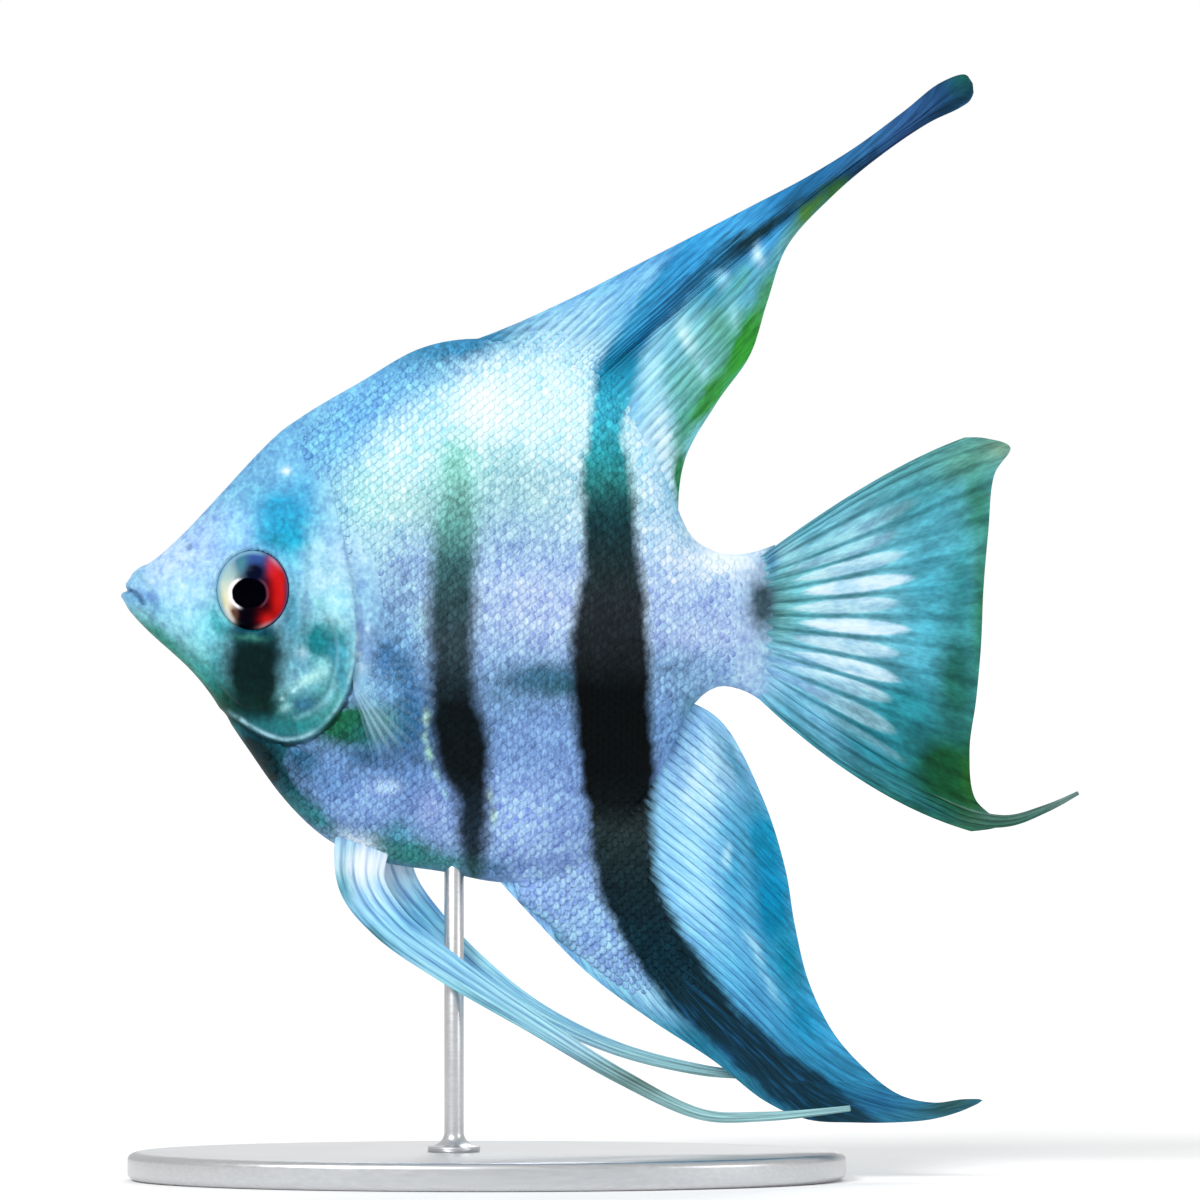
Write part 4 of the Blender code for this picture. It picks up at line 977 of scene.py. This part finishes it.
# Ray lines: how dark it is between rays and where, their colour, and how strongly rays are streaked
finColours = {
    "dorsal": {
        "lines": {"between": 0.42, "edge": (0.1, 0.8), "dark": (60, 140, 134), "streak": 0.26},
        "rows": [(78, 146, 200, 230), (88, 120, 190, 216), (95, 140, 204, 232), (102, 116, 186, 220),
                 (108, 100, 176, 220), (115, 60, 152, 212), (122, 34, 104, 160), (136, 20, 60, 96)],
        "spots": [
            (-15.5, 103.9, 6, 1.5, 1.1, 60, 136, 182, 10), (-6, 101.5, 6, 3, 1.1, 206, 234, 246, 10),
            (-2, 105.5, 6, 2.6, 0.9, 160, 210, 240, 25), (3.6, 106.6, 4, 2.2, 0.7, 112, 190, 232, 42),
            (6, 111, 5, 1.6, 0.9, 120, 184, 228, 28), (16, 117.2, 6, 1.3, 0.9, 84, 160, 216, 29),
            (8.4, 108.8, 4.5, 1.3, 0.8, 40, 118, 196, 38), (14.5, 104.5, 3.4, 3.6, 1, 84, 160, 140, 50),
            (10.8, 104, 2.6, 3, 1, 130, 202, 218, 50), (14.4, 109.8, 3, 1.6, 1, 62, 160, 192, 50),
            (17, 110, 3, 1.4, 0.8, 80, 158, 148, 52), (9.8, 97, 2.4, 4.4, 0.95, 108, 188, 196, 35),
            (12.2, 99, 3, 5, 0.75, 90, 160, 138, -30), (7.8, 88.6, 1.9, 6.4, 1.1, 196, 226, 244, 8),
            (6, 98, 1.2, 4.2, 1.1, 166, 222, 242, -12), (5.4, 89.5, 1.2, 3.4, 0.8, 200, 224, 240, -12),
            (10.4, 103.4, 0.9, 2.2, 0.85, 190, 230, 240, 22), (14.8, 110.6, 0.7, 1.3, 0.9, 166, 224, 246),
            (19.2, 113.6, 0.7, 1.5, 0.9, 192, 232, 250, 14),
            (16.4, 105.6, 0.8, 1.8, 0.7, 148, 208, 220, 10), (12.6, 99.2, 0.8, 2, 0.7, 150, 206, 222, 10),
            (10.2, 92.4, 1.1, 3, 0.7, 84, 164, 160, 20), (17.8, 102.6, 6.4, 1.6, 1.5, 44, 138, 40, 64),
            (13.2, 95.8, 4.8, 1.2, 1.4, 52, 138, 62, 54), (9.9, 86, 0.9, 4.4, 1.3, 50, 126, 84, 3),
            (10.6, 93.6, 0.8, 3, 0.9, 74, 150, 132, -20), (20.6, 109, 4.5, 1.4, 0.9, 66, 138, 88, 68),
            (23.6, 115.6, 4, 1, 0.8, 104, 158, 148, 48), (25.6, 119, 3.6, 1, 1.2, 70, 124, 62, 46),
            (29.2, 121.8, 3, 1.2, 1.3, 46, 100, 50, 46), (-17, 102.4, 6, 2.2, 1.4, 56, 132, 174, 6),
        ],
    },
    "anal": {
        "lines": {"between": 0.62, "edge": (0.05, 0.5), "dark": (44, 110, 150), "streak": 0.26},
        "rows": [(6, 44, 108, 134), (12, 48, 132, 170), (18, 62, 152, 198), (26, 98, 180, 222),
                 (34, 128, 196, 234), (42, 134, 198, 234), (50, 130, 188, 228), (60, 124, 174, 218)],
        "spots": [
            (-6, 32, 6, 3, 0.7, 134, 170, 220, -40), (1.5, 27.8, 5, 3.6, 1, 156, 206, 236, -40),
            (-3, 25.2, 9, 0.7, 0.9, 56, 134, 150, -42), (7, 18.8, 7, 0.8, 0.9, 52, 132, 150, -35),
            (11.4, 17.4, 4.4, 1.3, 1.1, 30, 114, 144, -38), (5, 23.2, 4.6, 1.7, 1.1, 150, 204, 232, -38),
            (-8, 36, 4, 2.2, 0.9, 150, 186, 234, -38), (12.4, 48.4, 3, 5.6, 1.2, 184, 226, 246, -10),
            (11.6, 38, 3, 7, 1, 160, 218, 246, 8), (16, 38, 1.8, 9, 1, 76, 166, 210, 4),
            (9, 52.5, 2, 4, 0.8, 116, 162, 208, 10), (15.6, 51.4, 1.7, 3, 1, 140, 184, 212, 20),
            (20, 41, 3.2, 7.4, 1.15, 20, 128, 164, 14), (21, 33.6, 3.4, 7.6, 1.15, 4, 126, 170, 5),
            (23, 26.5, 2.3, 5.5, 1, 0, 122, 154, 8), (16.4, 51, 0.9, 4.5, 0.8, 52, 130, 164, 28),
            (24.8, 20, 2.6, 4.5, 0.95, 16, 130, 172, 20), (19.5, 22, 2.4, 4, 0.7, 72, 154, 200, 25),
            (28.5, 12.5, 4, 3, 0.8, 38, 122, 162, -30), (34, 9.5, 4.5, 1.8, 0.85, 34, 98, 140),
            (43, 9, 4.5, 1.6, 0.95, 44, 84, 84, 10), (15, 12.5, 5, 1.2, 0.85, 28, 96, 106, -32),
            (15.4, 40, 0.6, 1.6, 0.6, 190, 236, 250), (18.6, 28.6, 0.5, 2, 0.6, 180, 232, 248, 30),
            (20.6, 24, 0.5, 2.4, 0.6, 150, 214, 240, 30),
        ],
    },
}


# The dark band that runs out along the streamer: its line, its reach above and below that line,
# and the colours of its upper part and of its core, all by x
streamer = {
    "spine": [(0, 96.5), (2, 99.5), (3, 101.3), (5, 103.7), (8, 107.3), (11, 110.2), (14, 112.9),
        (17, 114.6), (20, 116.5), (23, 118.7), (26, 120.6), (29, 123), (32, 125.3), (38, 129.4),
        (43.4, 133.3), (46, 135)],
    "above": [(-2, 3), (0, 3.4), (2, 4), (3.5, 4.1), (5, 5), (8, 5.3), (14, 7), (46, 7)],
    "below": [(0, 2.6), (14, 2.4), (20, 1.7), (24, 1.1), (28, 1), (32, 3), (46, 3)],
    "upper": [(1, 44, 152, 192), (3, 54, 150, 196), (5, 52, 148, 196), (8, 46, 140, 194),
        (12, 54, 152, 212), (17, 66, 160, 218), (21, 44, 126, 182), (26, 32, 104, 154), (32, 46, 106, 158),
        (37, 48, 94, 148), (42, 28, 72, 116), (46, 18, 80, 88)],
    "core": [(1, 46, 154, 186), (3.5, 34, 134, 178), (5, 30, 126, 176), (8, 34, 112, 160),
        (11, 28, 98, 140), (14, 20, 84, 118), (17, 8, 52, 70), (20, 2, 38, 38), (26, 4, 46, 52),
        (32, 6, 44, 72), (37, 14, 42, 84), (46, 12, 52, 66)],
}


# Colour of a fin: rows, ovals and the dark bands of the side view, then light and dark along rays
def finMaterial(name):
    paint = Paint(name + "Paint", Roughness=0.4, Specular_IOR_Level=0.08)
    place = paint.place()
    number, out, wave = paint.rays()
    stretched = paint.join(number * 0.6, out * 2.0, 0.0)
    streak = paint.cloud(stretched, 3.0, 3.0)
    loose = paint.stray(place, paint.wander(place, 2.5), 1.6)
    x, z = paint.part(loose, "X"), paint.part(loose, "Z")
    chart, lines = finColours[name], finColours[name]["lines"]
    colour = paint.blots(loose, paint.bands(z, chart["rows"]), chart["spots"])
    if name == "dorsal":
        spine, above, below = (paint.curve(x, streamer[line]) for line in ("spine", "above", "below"))
        away = z * 1000 - spine + (streak - 0.5) * 3.4
        upper, core = (paint.bands(x, streamer[line]) for line in ("upper", "core"))
        strip = paint.mix((away + x.rise(20 * mm, 30 * mm) * 1.3).rise(-0.2, 2.2), core, upper)
        mask = (away + below).rise(0.0, 1.6) * (above - away).rise(-1.0, 1.4)
        mask = mask * x.rise(-1.5 * mm, 0.5 * mm)
        colour = paint.mix(mask, colour, strip)
        colour = paint.mix(paint.blot(place, 44.6, 135.6, 2.2, 1.5, 30) * 0.9, colour, tint(20, 92, 84))
    if name in ("dorsal", "anal"):
        away = abs(x * 1000 - paint.curve(z, bars["secondMiddle"]))
        depth = paint.curve(z, bars["secondWidth"]) * 0.5 - away + (streak - 0.5) * 3.2
        mask = depth.rise(-1.0, 1.0)
        if name == "dorsal":
            mask = mask * z.rise(104 * mm, 100 * mm)
        dark = paint.bands(z, bars["secondRows"])
        dark = paint.mix(streak.rise(0.5, 0.7) * z.rise(30 * mm, 18 * mm) * 0.6, dark, tint(24, 84, 130))
        colour = paint.mix(mask, colour, dark)
    # painted highlights: pale leaf shapes on the middle rays of the tail
    if "leaf" in lines:
        chance = paint.cloud(paint.join(number, 0.0, 7.0), 0.9, 1.0)
        lens = abs(out - 0.33 - chance * 0.2) / 0.25
        shine = (wave - lens * lens * 0.75 - 0.36 + streak * 0.12).rise(-0.1, 0.3)
        middle = number.rise(2.0, 6.0) * number.rise(14.0, 9.5)
        shine = shine * (chance.rise(0.3, 0.6) * 0.5 + 0.5) * middle
        colour = paint.mix(shine * lines["leaf"], colour, tint(208, 230, 244))
    low, high = lines["edge"]
    between = lines["between"] - out.rise(0.35, 0.9) * (lines["between"] * 0.5)
    gap = (1 - wave.rise(low, high)) * out.rise(0.0, 0.16) * between
    colour = paint.mix(gap, colour, tint(*lines["dark"]), "MULTIPLY")
    colour = paint.mottle(colour, streak, lines["streak"])
    fine = paint.cloud(stretched, 14.0, 2.0)
    colour = paint.mottle(colour, fine, 0.14)
    return paint.finish(colour, fine * 0.2 + 0.32, fine, 0.2)


# Rays behind the dark band don't fan out: in the dorsal fin they are straight lines at one
# angle, and in the anal fin one curve slid up and down
rearRays = {
    "angle": 46, "spacing": {"dorsal": 1.08, "anal": 1.32},
    "band": [(-4, 94), (1.3, 97), (6, 102.4), (10, 106.4), (14.6, 110.4), (18.3, 113.6),
             (24.4, 118.4), (46, 134)],
    "slope": [(-20, 1.6), (8, 0.76), (11, 0.8), (15, 0.88), (18, 1), (22, 1), (27, 0.75), (33, 0.4),
              (50, 0.1)],
}


def rearNumber(name, x, z, number):
    if name == "dorsal":
        angle = math.radians(rearRays["angle"])
        height = x * math.sin(angle) - z * math.cos(angle)
        chosen = (z < byTable(x, rearRays["band"])) & (x < 26)
    else:
        steps = np.linspace(-20, 50, 400)
        rise = np.cumsum(byTable(steps, rearRays["slope"])) * (steps[1] - steps[0])
        height = z + np.interp(x, steps, rise)
        chosen = (x > byTable(z, bars["secondMiddle"])) & (z > 12)
    return np.where(chosen, height / rearRays["spacing"][name], number)


for name, fin in (("dorsal", dorsal), ("anal", anal)):
    middle, number, out = streamerGrid(fin)
    grid = middle, rearNumber(name, middle[..., 0], middle[..., 2], number), out
    raySheet(name + "_sheet", grid, webHalf(*grid[1:]), finMaterial(name), name + "_fin")
print("stage 5: dorsal and anal fins ready")


# Tail

tail = {
    "keys": [
        (77.8, (44.6, 91), (34.4, 86.2)), (77.2, (47.2, 90.9), (36, 86.1)),
        (76.6, (50.2, 89.8), (37.5, 85.6)), (75.6, (48.3, 86.6)), (73.6, (47.5, 79.5)), (71, (46.9, 72.4)),
        (68.2, (46.6, 65.4)), (65.4, (46, 58.8)), (62.8, (45.2, 52.6)), (61.2, (45.9, 46.7), (34.6, 52.2)),
        (59.9, (48.3, 44.3), (36.4, 49.6)), (58.8, (48.9, 43.5), (35.6, 48.7)),
        (57.5, (45.4, 42.7), (33.3, 48.1)),
    ],
    "perRay": 10, "rays": 16, "footX": 18.5, "footMiddle": 67.7, "footShare": 0.78, "footHalf": 0.05,
    "thread": [(33, 50.2, 1.2), (41, 46.2, 1.9), (45.4, 44.4, 2), (50, 44, 1.45),
               (54.4, 45.4, 1), (58.6, 47.4, 0.5)],
}
finColours["tail"] = {
    # leaf: strength of the painted highlights, pale and leaf-shaped, on the middle rays
    "lines": {"between": 0.6, "edge": (0.1, 0.6), "dark": (50, 126, 130), "streak": 0.3, "leaf": 0.8},
    "rows": [(42, 30, 88, 66), (47, 28, 92, 84), (53, 40, 122, 132), (60, 76, 158, 184),
             (68, 84, 166, 186), (76, 96, 174, 194), (82, 82, 158, 176), (92, 84, 146, 140)],
    "spots": [
        (22.6, 76.4, 2.4, 2, 0.7, 160, 204, 226), *wrist, (23.4, 62.6, 3.5, 3, 0.8, 140, 192, 226),
        (27.5, 55.5, 6.5, 1.8, 0.85, 112, 174, 210, -40), (30, 79.5, 5, 2.6, 0.5, 128, 192, 214, 25),
        (26, 72, 3, 5, 0.4, 90, 168, 160), (30.4, 69, 6, 10, 0.7, 128, 190, 208),
        (40.6, 72, 3.6, 9, 0.9, 66, 158, 180), (46.8, 70, 1.8, 14, 1, 44, 112, 74, -3),
        (40, 84, 5, 3, 0.8, 64, 146, 160, 35), (45, 88, 4.6, 2.2, 0.8, 84, 142, 124, 20),
        (49, 89.6, 2, 1.5, 0.8, 120, 156, 134), (46, 82.5, 1.6, 4, 0.85, 50, 124, 96),
        (37.6, 57, 5, 4.6, 1.3, 38, 128, 142, -20), (43.6, 61, 2.4, 7, 1.2, 32, 102, 92),
        (44.2, 73, 1.8, 7, 0.9, 50, 140, 148), (42.5, 49.6, 5.2, 4.6, 1.4, 14, 72, 40, -30),
        (33, 53.4, 5, 2.6, 1, 34, 124, 142, -38), (36, 48.4, 7, 1, 0.7, 44, 118, 130, -30),
        (45.6, 50, 1.3, 5.5, 0.85, 34, 90, 36, -5), (50, 45, 5, 1.4, 0.7, 84, 116, 108, 10),
        (57, 47, 4, 1.4, 0.7, 120, 142, 138, 10),
    ],
}


# Each ray is the parabola through its foot, bend and tip
def fanGrid():
    keys = tail["keys"]
    middle, share = tail["footMiddle"], tail["footShare"]
    foot = np.array([(tail["footX"], middle + share * (key[0] - middle)) for key in keys])
    tip = np.array([key[1] for key in keys])
    bend = np.array([key[2] if len(key) > 2 else (f + t) / 2 for key, f, t in zip(keys, foot, tip)])
    count = tail["rays"] * tail["perRay"] + 1
    rows = through(np.column_stack([tip, bend, foot]), np.linspace(0, 1, count), width=2, power=0.6)
    tip, bend, foot = rows[:, None, :2], rows[:, None, 2:4], rows[:, None, 4:]
    near, far = (np.linalg.norm(bend - end, axis=-1, keepdims=True) ** 0.5 for end in (foot, tip))
    m = near / (near + far)
    t = np.linspace(0, 1, web["places"])[None, :, None]
    flat = foot * (t - m) * (t - 1) / m + bend * t * (1 - t) / (m * (1 - m))
    flat = flat + tip * t * (t - m) / (1 - m)
    number = np.linspace(0, tail["rays"], count)[:, None] + 0 * t[..., 0]
    x, z = flat[..., 0], flat[..., 1]
    return np.stack([x, sway(x, z), z], axis=-1), number, t[..., 0] + 0 * number


# Rings of a flat blade along rows of x, y, z and width, with fine ridges along it
def blade(rows, side, root, tip, ridges, around=48):
    centre = rows[:, :3]
    way = np.gradient(centre, axis=0)
    way /= np.linalg.norm(way, axis=1)[:, None]
    across = np.cross(way, (0.0, side, 0.0))
    across /= np.linalg.norm(across, axis=1)[:, None]
    out = np.cross(across, way)
    turn = np.linspace(0, 2 * np.pi, around, endpoint=False)[None, :]
    share = np.linspace(0, 1, len(rows))[:, None]
    ridge = 1 + 0.16 * ease(share, 0.12, 0.3) * np.cos(ridges * np.pi * np.cos(turn)) * np.abs(np.sin(turn))
    halfWidth = rows[:, 3, None] / 2
    halfThick = (root + (tip - root) * share) / 2 * ridge
    rings = centre[:, None] + across[:, None] * (halfWidth * np.cos(turn))[..., None]
    rings = rings + out[:, None] * (halfThick * np.sin(turn))[..., None]
    uv = np.stack([(np.cos(turn) + 1) * ridges / 2 + 0 * share, share + 0 * turn], axis=-1)
    return closedRings(rings), np.concatenate([uv.reshape(-1, 2), [[0, 0], [0, 1]]])


tailPaint = finMaterial("tail")
grid = fanGrid()
raySheet("tail_fan", grid, webHalf(*grid[1:], foot=tail["footHalf"]), tailPaint, "tail_fin")
x, z, width = through(tail["thread"], np.linspace(0, 1, 90), width=2).T
shape, uv = blade(np.column_stack([x, sway(x, z), z, width]), 1, 0.5, 0.3, 3)
piece("tail_thread", shape, tailPaint, (), uv)
print("stage 6: tail ready")


# Pelvic and pectoral fins

pelvic = {
    "left": [
        (-27.6, 0.2, 47.5, 3.6), (-29, 1.2, 42.5, 6.6), (-29.3, 1.8, 36.6, 5.8), (-26.1, 2.3, 31.8, 4.8),
        (-19.3, 2.7, 26.5, 3.9), (-8, 3, 19.2, 2.5), (2.5, 3.1, 12.8, 1.9), (12.3, 2.8, 8.2, 1.4),
        (19.5, 2.5, 7.9, 1.2), (30.5, 2, 8.9, 0.7),
    ],
    "right": [
        (-26.2, 0.2, 47, 3.6), (-27.2, 1.2, 42, 6.8), (-25.6, 1.8, 36, 6.5), (-21.2, 2.3, 31, 4.8),
        (-14.4, 2.7, 25, 3.4), (-7.4, 3, 20.3, 2.3), (2.2, 3.3, 15.9, 1.7), (12.1, 3.2, 13.4, 1.4),
        (17.2, 3, 12.8, 1.1), (24.4, 2.8, 12.1, 0.7),
    ],
    "thickness": (0.9, 0.5), "ridges": 4,
}
pectoral = {
    "foot": (-29.4, 61.8), "footHeight": 3.2, "length": 11.0, "angles": (-74.0, 8.0),
    "flare": 15.0, "rays": 12,
}
finColours["pelvic"] = {
    "lines": {"between": 0.4, "edge": (0.1, 0.6), "dark": (60, 140, 170), "streak": 0.4},
    "rows": [(6, 150, 194, 198), (12, 132, 172, 174), (18, 150, 204, 222), (25, 146, 204, 230),
             (32, 140, 202, 234), (37, 184, 220, 242), (39.5, 204, 224, 244),
             (42, 150, 186, 226), (46, 130, 166, 214)],
    "spots": [
        (-31.5, 37, 1.4, 4.5, 0.9, 50, 146, 164), (-27.5, 29.5, 4, 1, 0.85, 48, 132, 146, -40),
        (-22, 33, 3, 3, 0.6, 72, 160, 204, -40), (-28.6, 38.6, 2.8, 1.8, 1, 226, 236, 250),
        (-14, 21, 6, 0.8, 0.6, 60, 132, 142, -33), (4.8, 12.2, 4, 1, 0.8, 84, 110, 104, -25),
        (-1, 16, 5, 0.8, 0.6, 172, 210, 226, -25), (24, 8.2, 6, 1.5, 0.6, 140, 184, 188),
    ],
}

pelvicPaint = finMaterial("pelvic")
for name, side in sides:
    rows = through(pelvic[name], np.linspace(0, 1, 220)) * (1, side, 1, 1)
    shape, uv = blade(rows, side, *pelvic["thickness"], pelvic["ridges"], 72)
    piece("pelvic_band_" + name, shape, pelvicPaint, ("pelvic_fin_" + name,), uv)


# A rounded fan: reach × (cos, sin) of an angle that turns from its lowest to its highest ray
def pectoralGrid(side):
    low, high = np.radians(pectoral["angles"])
    count = pectoral["rays"] * web["perRay"] + 1
    turn, out = np.linspace(0, 1, count)[:, None], np.linspace(0, 1, 60)[None, :]
    angle = low + (high - low) * turn
    reach = pectoral["length"] * (0.68 + 0.32 * np.sin(np.pi * (0.15 + 0.7 * turn)))
    footX, footZ = pectoral["foot"]
    x = footX - 0.8 + reach * np.cos(angle) * out
    z = footZ + pectoral["footHeight"] * (turn - 0.5) + reach * np.sin(angle) * out
    start = flankAt(np.array([footX]), np.array([footZ]))[0] - 0.4
    flare = math.tan(math.radians(pectoral["flare"]))
    y = start + reach * out * flare + 0.9 * ease(out, 0.0, 0.12)
    number = turn * pectoral["rays"] + 0 * out
    return np.stack([x, side * (y + 0 * turn), z], axis=-1), number, out + 0 * turn


def pectoralMaterial():
    paint = Paint("pectoralPaint", Roughness=0.3, Specular_IOR_Level=0.1)
    number, out, wave = paint.rays()
    onRay = wave.rise(0.55, 0.95)
    colour = paint.mix(onRay, tint(120, 176, 214), tint(170, 210, 236))
    # the fin is paler and less clear at its foot: a painted highlight
    foot = out.rise(0.3, 0.02)
    colour = paint.mix(foot, colour, tint(168, 210, 236))
    folded = abs(number - 2.2).rise(2.6, 0.6) * out.rise(1.0, 0.45)
    alpha = onRay * 0.03 + 0.02 + foot * 0.26 - out * 0.02 + folded * (onRay * 0.16 + 0.14)
    colour = paint.mix(folded, colour, tint(168, 214, 238))
    paint.put(paint.shader.inputs["Alpha"], alpha)
    return paint.finish(colour)


pectoralPaint = pectoralMaterial()
for name, side in sides:
    grid, fin = pectoralGrid(side), "pectoral_fin_" + name
    raySheet("pectoral_fan_" + name, grid, webHalf(*grid[1:], 0.62), pectoralPaint, fin)
print("stage 7: pelvic and pectoral fins ready")


# Stand

stand = {
    "bevel": 0.9, "steps": 12, "sides": 128, "plateMiddle": 0.5, "rodRadius": 1.2, "collarHeight": 2.4,
    "collarRadius": 3.2, "collarFoot": 0.35, "collarRim": 0.5,
}


# A turned shape: radius, height pairs carried round an upright axis and stretched to an oval
def turned(profile, centre, stretch=(1.0, 1.0)):
    radius, height = np.array(profile).T[:, :, None]
    turn = np.linspace(0, 2 * np.pi, stand["sides"], endpoint=False)[None, :]
    x = centre[0] + radius * stretch[0] * np.cos(turn)
    y = centre[1] + radius * stretch[1] * np.sin(turn)
    return closedRings(np.stack([x, y, height + 0 * turn], axis=-1))


def standMaterial():
    paint = Paint("standPaint", Metallic=1.0, Roughness=0.34)
    place = paint.place()
    brushed = paint.cloud(paint.shift(place, (40.0, 900.0, 900.0), "MULTIPLY"), 3.0, 3.0)
    colour = paint.mix(brushed, tint(196, 198, 200), tint(222, 223, 225))
    return paint.finish(colour, brushed * 0.18 + 0.26, brushed, 0.05)


standPaint = standMaterial()
low, high = (np.array(corner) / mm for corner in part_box("stand_base"))
centre, radii, bevel = (low + high)[:2] / 2, (high - low)[:2] / 2, stand["bevel"]
quarter = [(1 - math.cos(a), 1 - math.sin(a)) for a in np.linspace(0, np.pi / 2, stand["steps"])]
edge = [(1 - bevel / radii[1] * fall, bevel * run) for run, fall in quarter]
edge += [(1 - bevel / radii[1] * run, high[2] - bevel * fall) for run, fall in quarter]
plate = turned([(0.3, 0.0), *edge, (stand["plateMiddle"], high[2])], centre, radii)
piece("base_plate", plate, standPaint, ("stand_base",))
low, high = (np.array(corner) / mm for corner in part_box("stand_rod"))
foot, radius = low[2] - stand["collarFoot"], stand["rodRadius"]
wide, tall, rim = stand["collarRadius"], stand["collarHeight"], stand["collarRim"]
sweep = [(radius + (wide - radius) * fall, foot + 0.7 + (tall - 0.7) * run) for run, fall in quarter]
profile = [(1.0, foot), (wide, foot), (wide, foot + rim), *sweep, (radius, foot + tall + 0.6),
           (radius, high[2] - 0.3), (radius - 0.3, high[2])]
piece("rod", turned(profile, (low + high)[:2] / 2), standPaint, ("stand_rod",))
print("stage 8: stand ready")


# Floor, light and camera

# each light: its power, and the turns that aim it
studio = {
    "floorSize": 60.0, "worldLight": 0.66, "softness": 20,
    "lights": {"key": (1.55, (52, 0, -32)), "fill": (0.35, (70, 0, 60)), "back": (0.6, (50, 0, 170))},
}
floorPaint = Paint("floorPaint", Roughness=0.9, Specular_IOR_Level=0.0)
grain = floorPaint.noise(floorPaint.place(), 40.0)
floorPaint.finish(floorPaint.mix(grain, tint(250, 250, 250), tint(254, 254, 254)))
s = studio["floorSize"] / 2
mesh = bpy.data.meshes.new("floor")
mesh.from_pydata([(-s, -s, 0), (s, -s, 0), (s, s, 0), (-s, s, 0)], [], [(0, 1, 2, 3)])
floor = bpy.data.objects.new("floor", mesh)
bpy.context.scene.collection.objects.link(floor)
mesh.materials.append(floorPaint.material)

world = bpy.data.worlds.new("studio")
bpy.context.scene.world = world
world.use_nodes = True
nodes, links = world.node_tree.nodes, world.node_tree.links
sky = nodes["Background"]
sky.inputs["Color"].default_value = (1, 1, 1, 1)
path = nodes.new("ShaderNodeLightPath")
level = nodes.new("ShaderNodeMapRange")
level.inputs["To Min"].default_value = studio["worldLight"]
level.inputs["To Max"].default_value = 1.0
links.new(path.outputs["Is Camera Ray"], level.inputs["Value"])
links.new(level.outputs["Result"], sky.inputs["Strength"])

for name, (power, turn) in studio["lights"].items():
    light = bpy.data.lights.new(name, "SUN")
    light.energy, light.angle = power, math.radians(studio["softness"])
    lamp = bpy.data.objects.new(name, light)
    lamp.rotation_euler = [math.radians(a) for a in turn]
    bpy.context.scene.collection.objects.link(lamp)

shot = {"distance": 1.3, "frameWidth": 0.147, "middleX": -0.00012, "middleZ": 0.07107, "sensor": 36.0}
lens = bpy.data.cameras.new("camera")
lens.sensor_width = shot["sensor"]
lens.lens = shot["sensor"] * shot["distance"] / shot["frameWidth"]
lens.clip_end = 100
camera = bpy.data.objects.new("camera", lens)
camera.location = (shot["middleX"], -shot["distance"], shot["middleZ"])
camera.rotation_euler = (math.pi / 2, 0, 0)
bpy.context.scene.collection.objects.link(camera)
bpy.context.scene.camera = camera
bpy.context.scene.view_settings.view_transform = "Standard"
print("stage 9: studio ready")
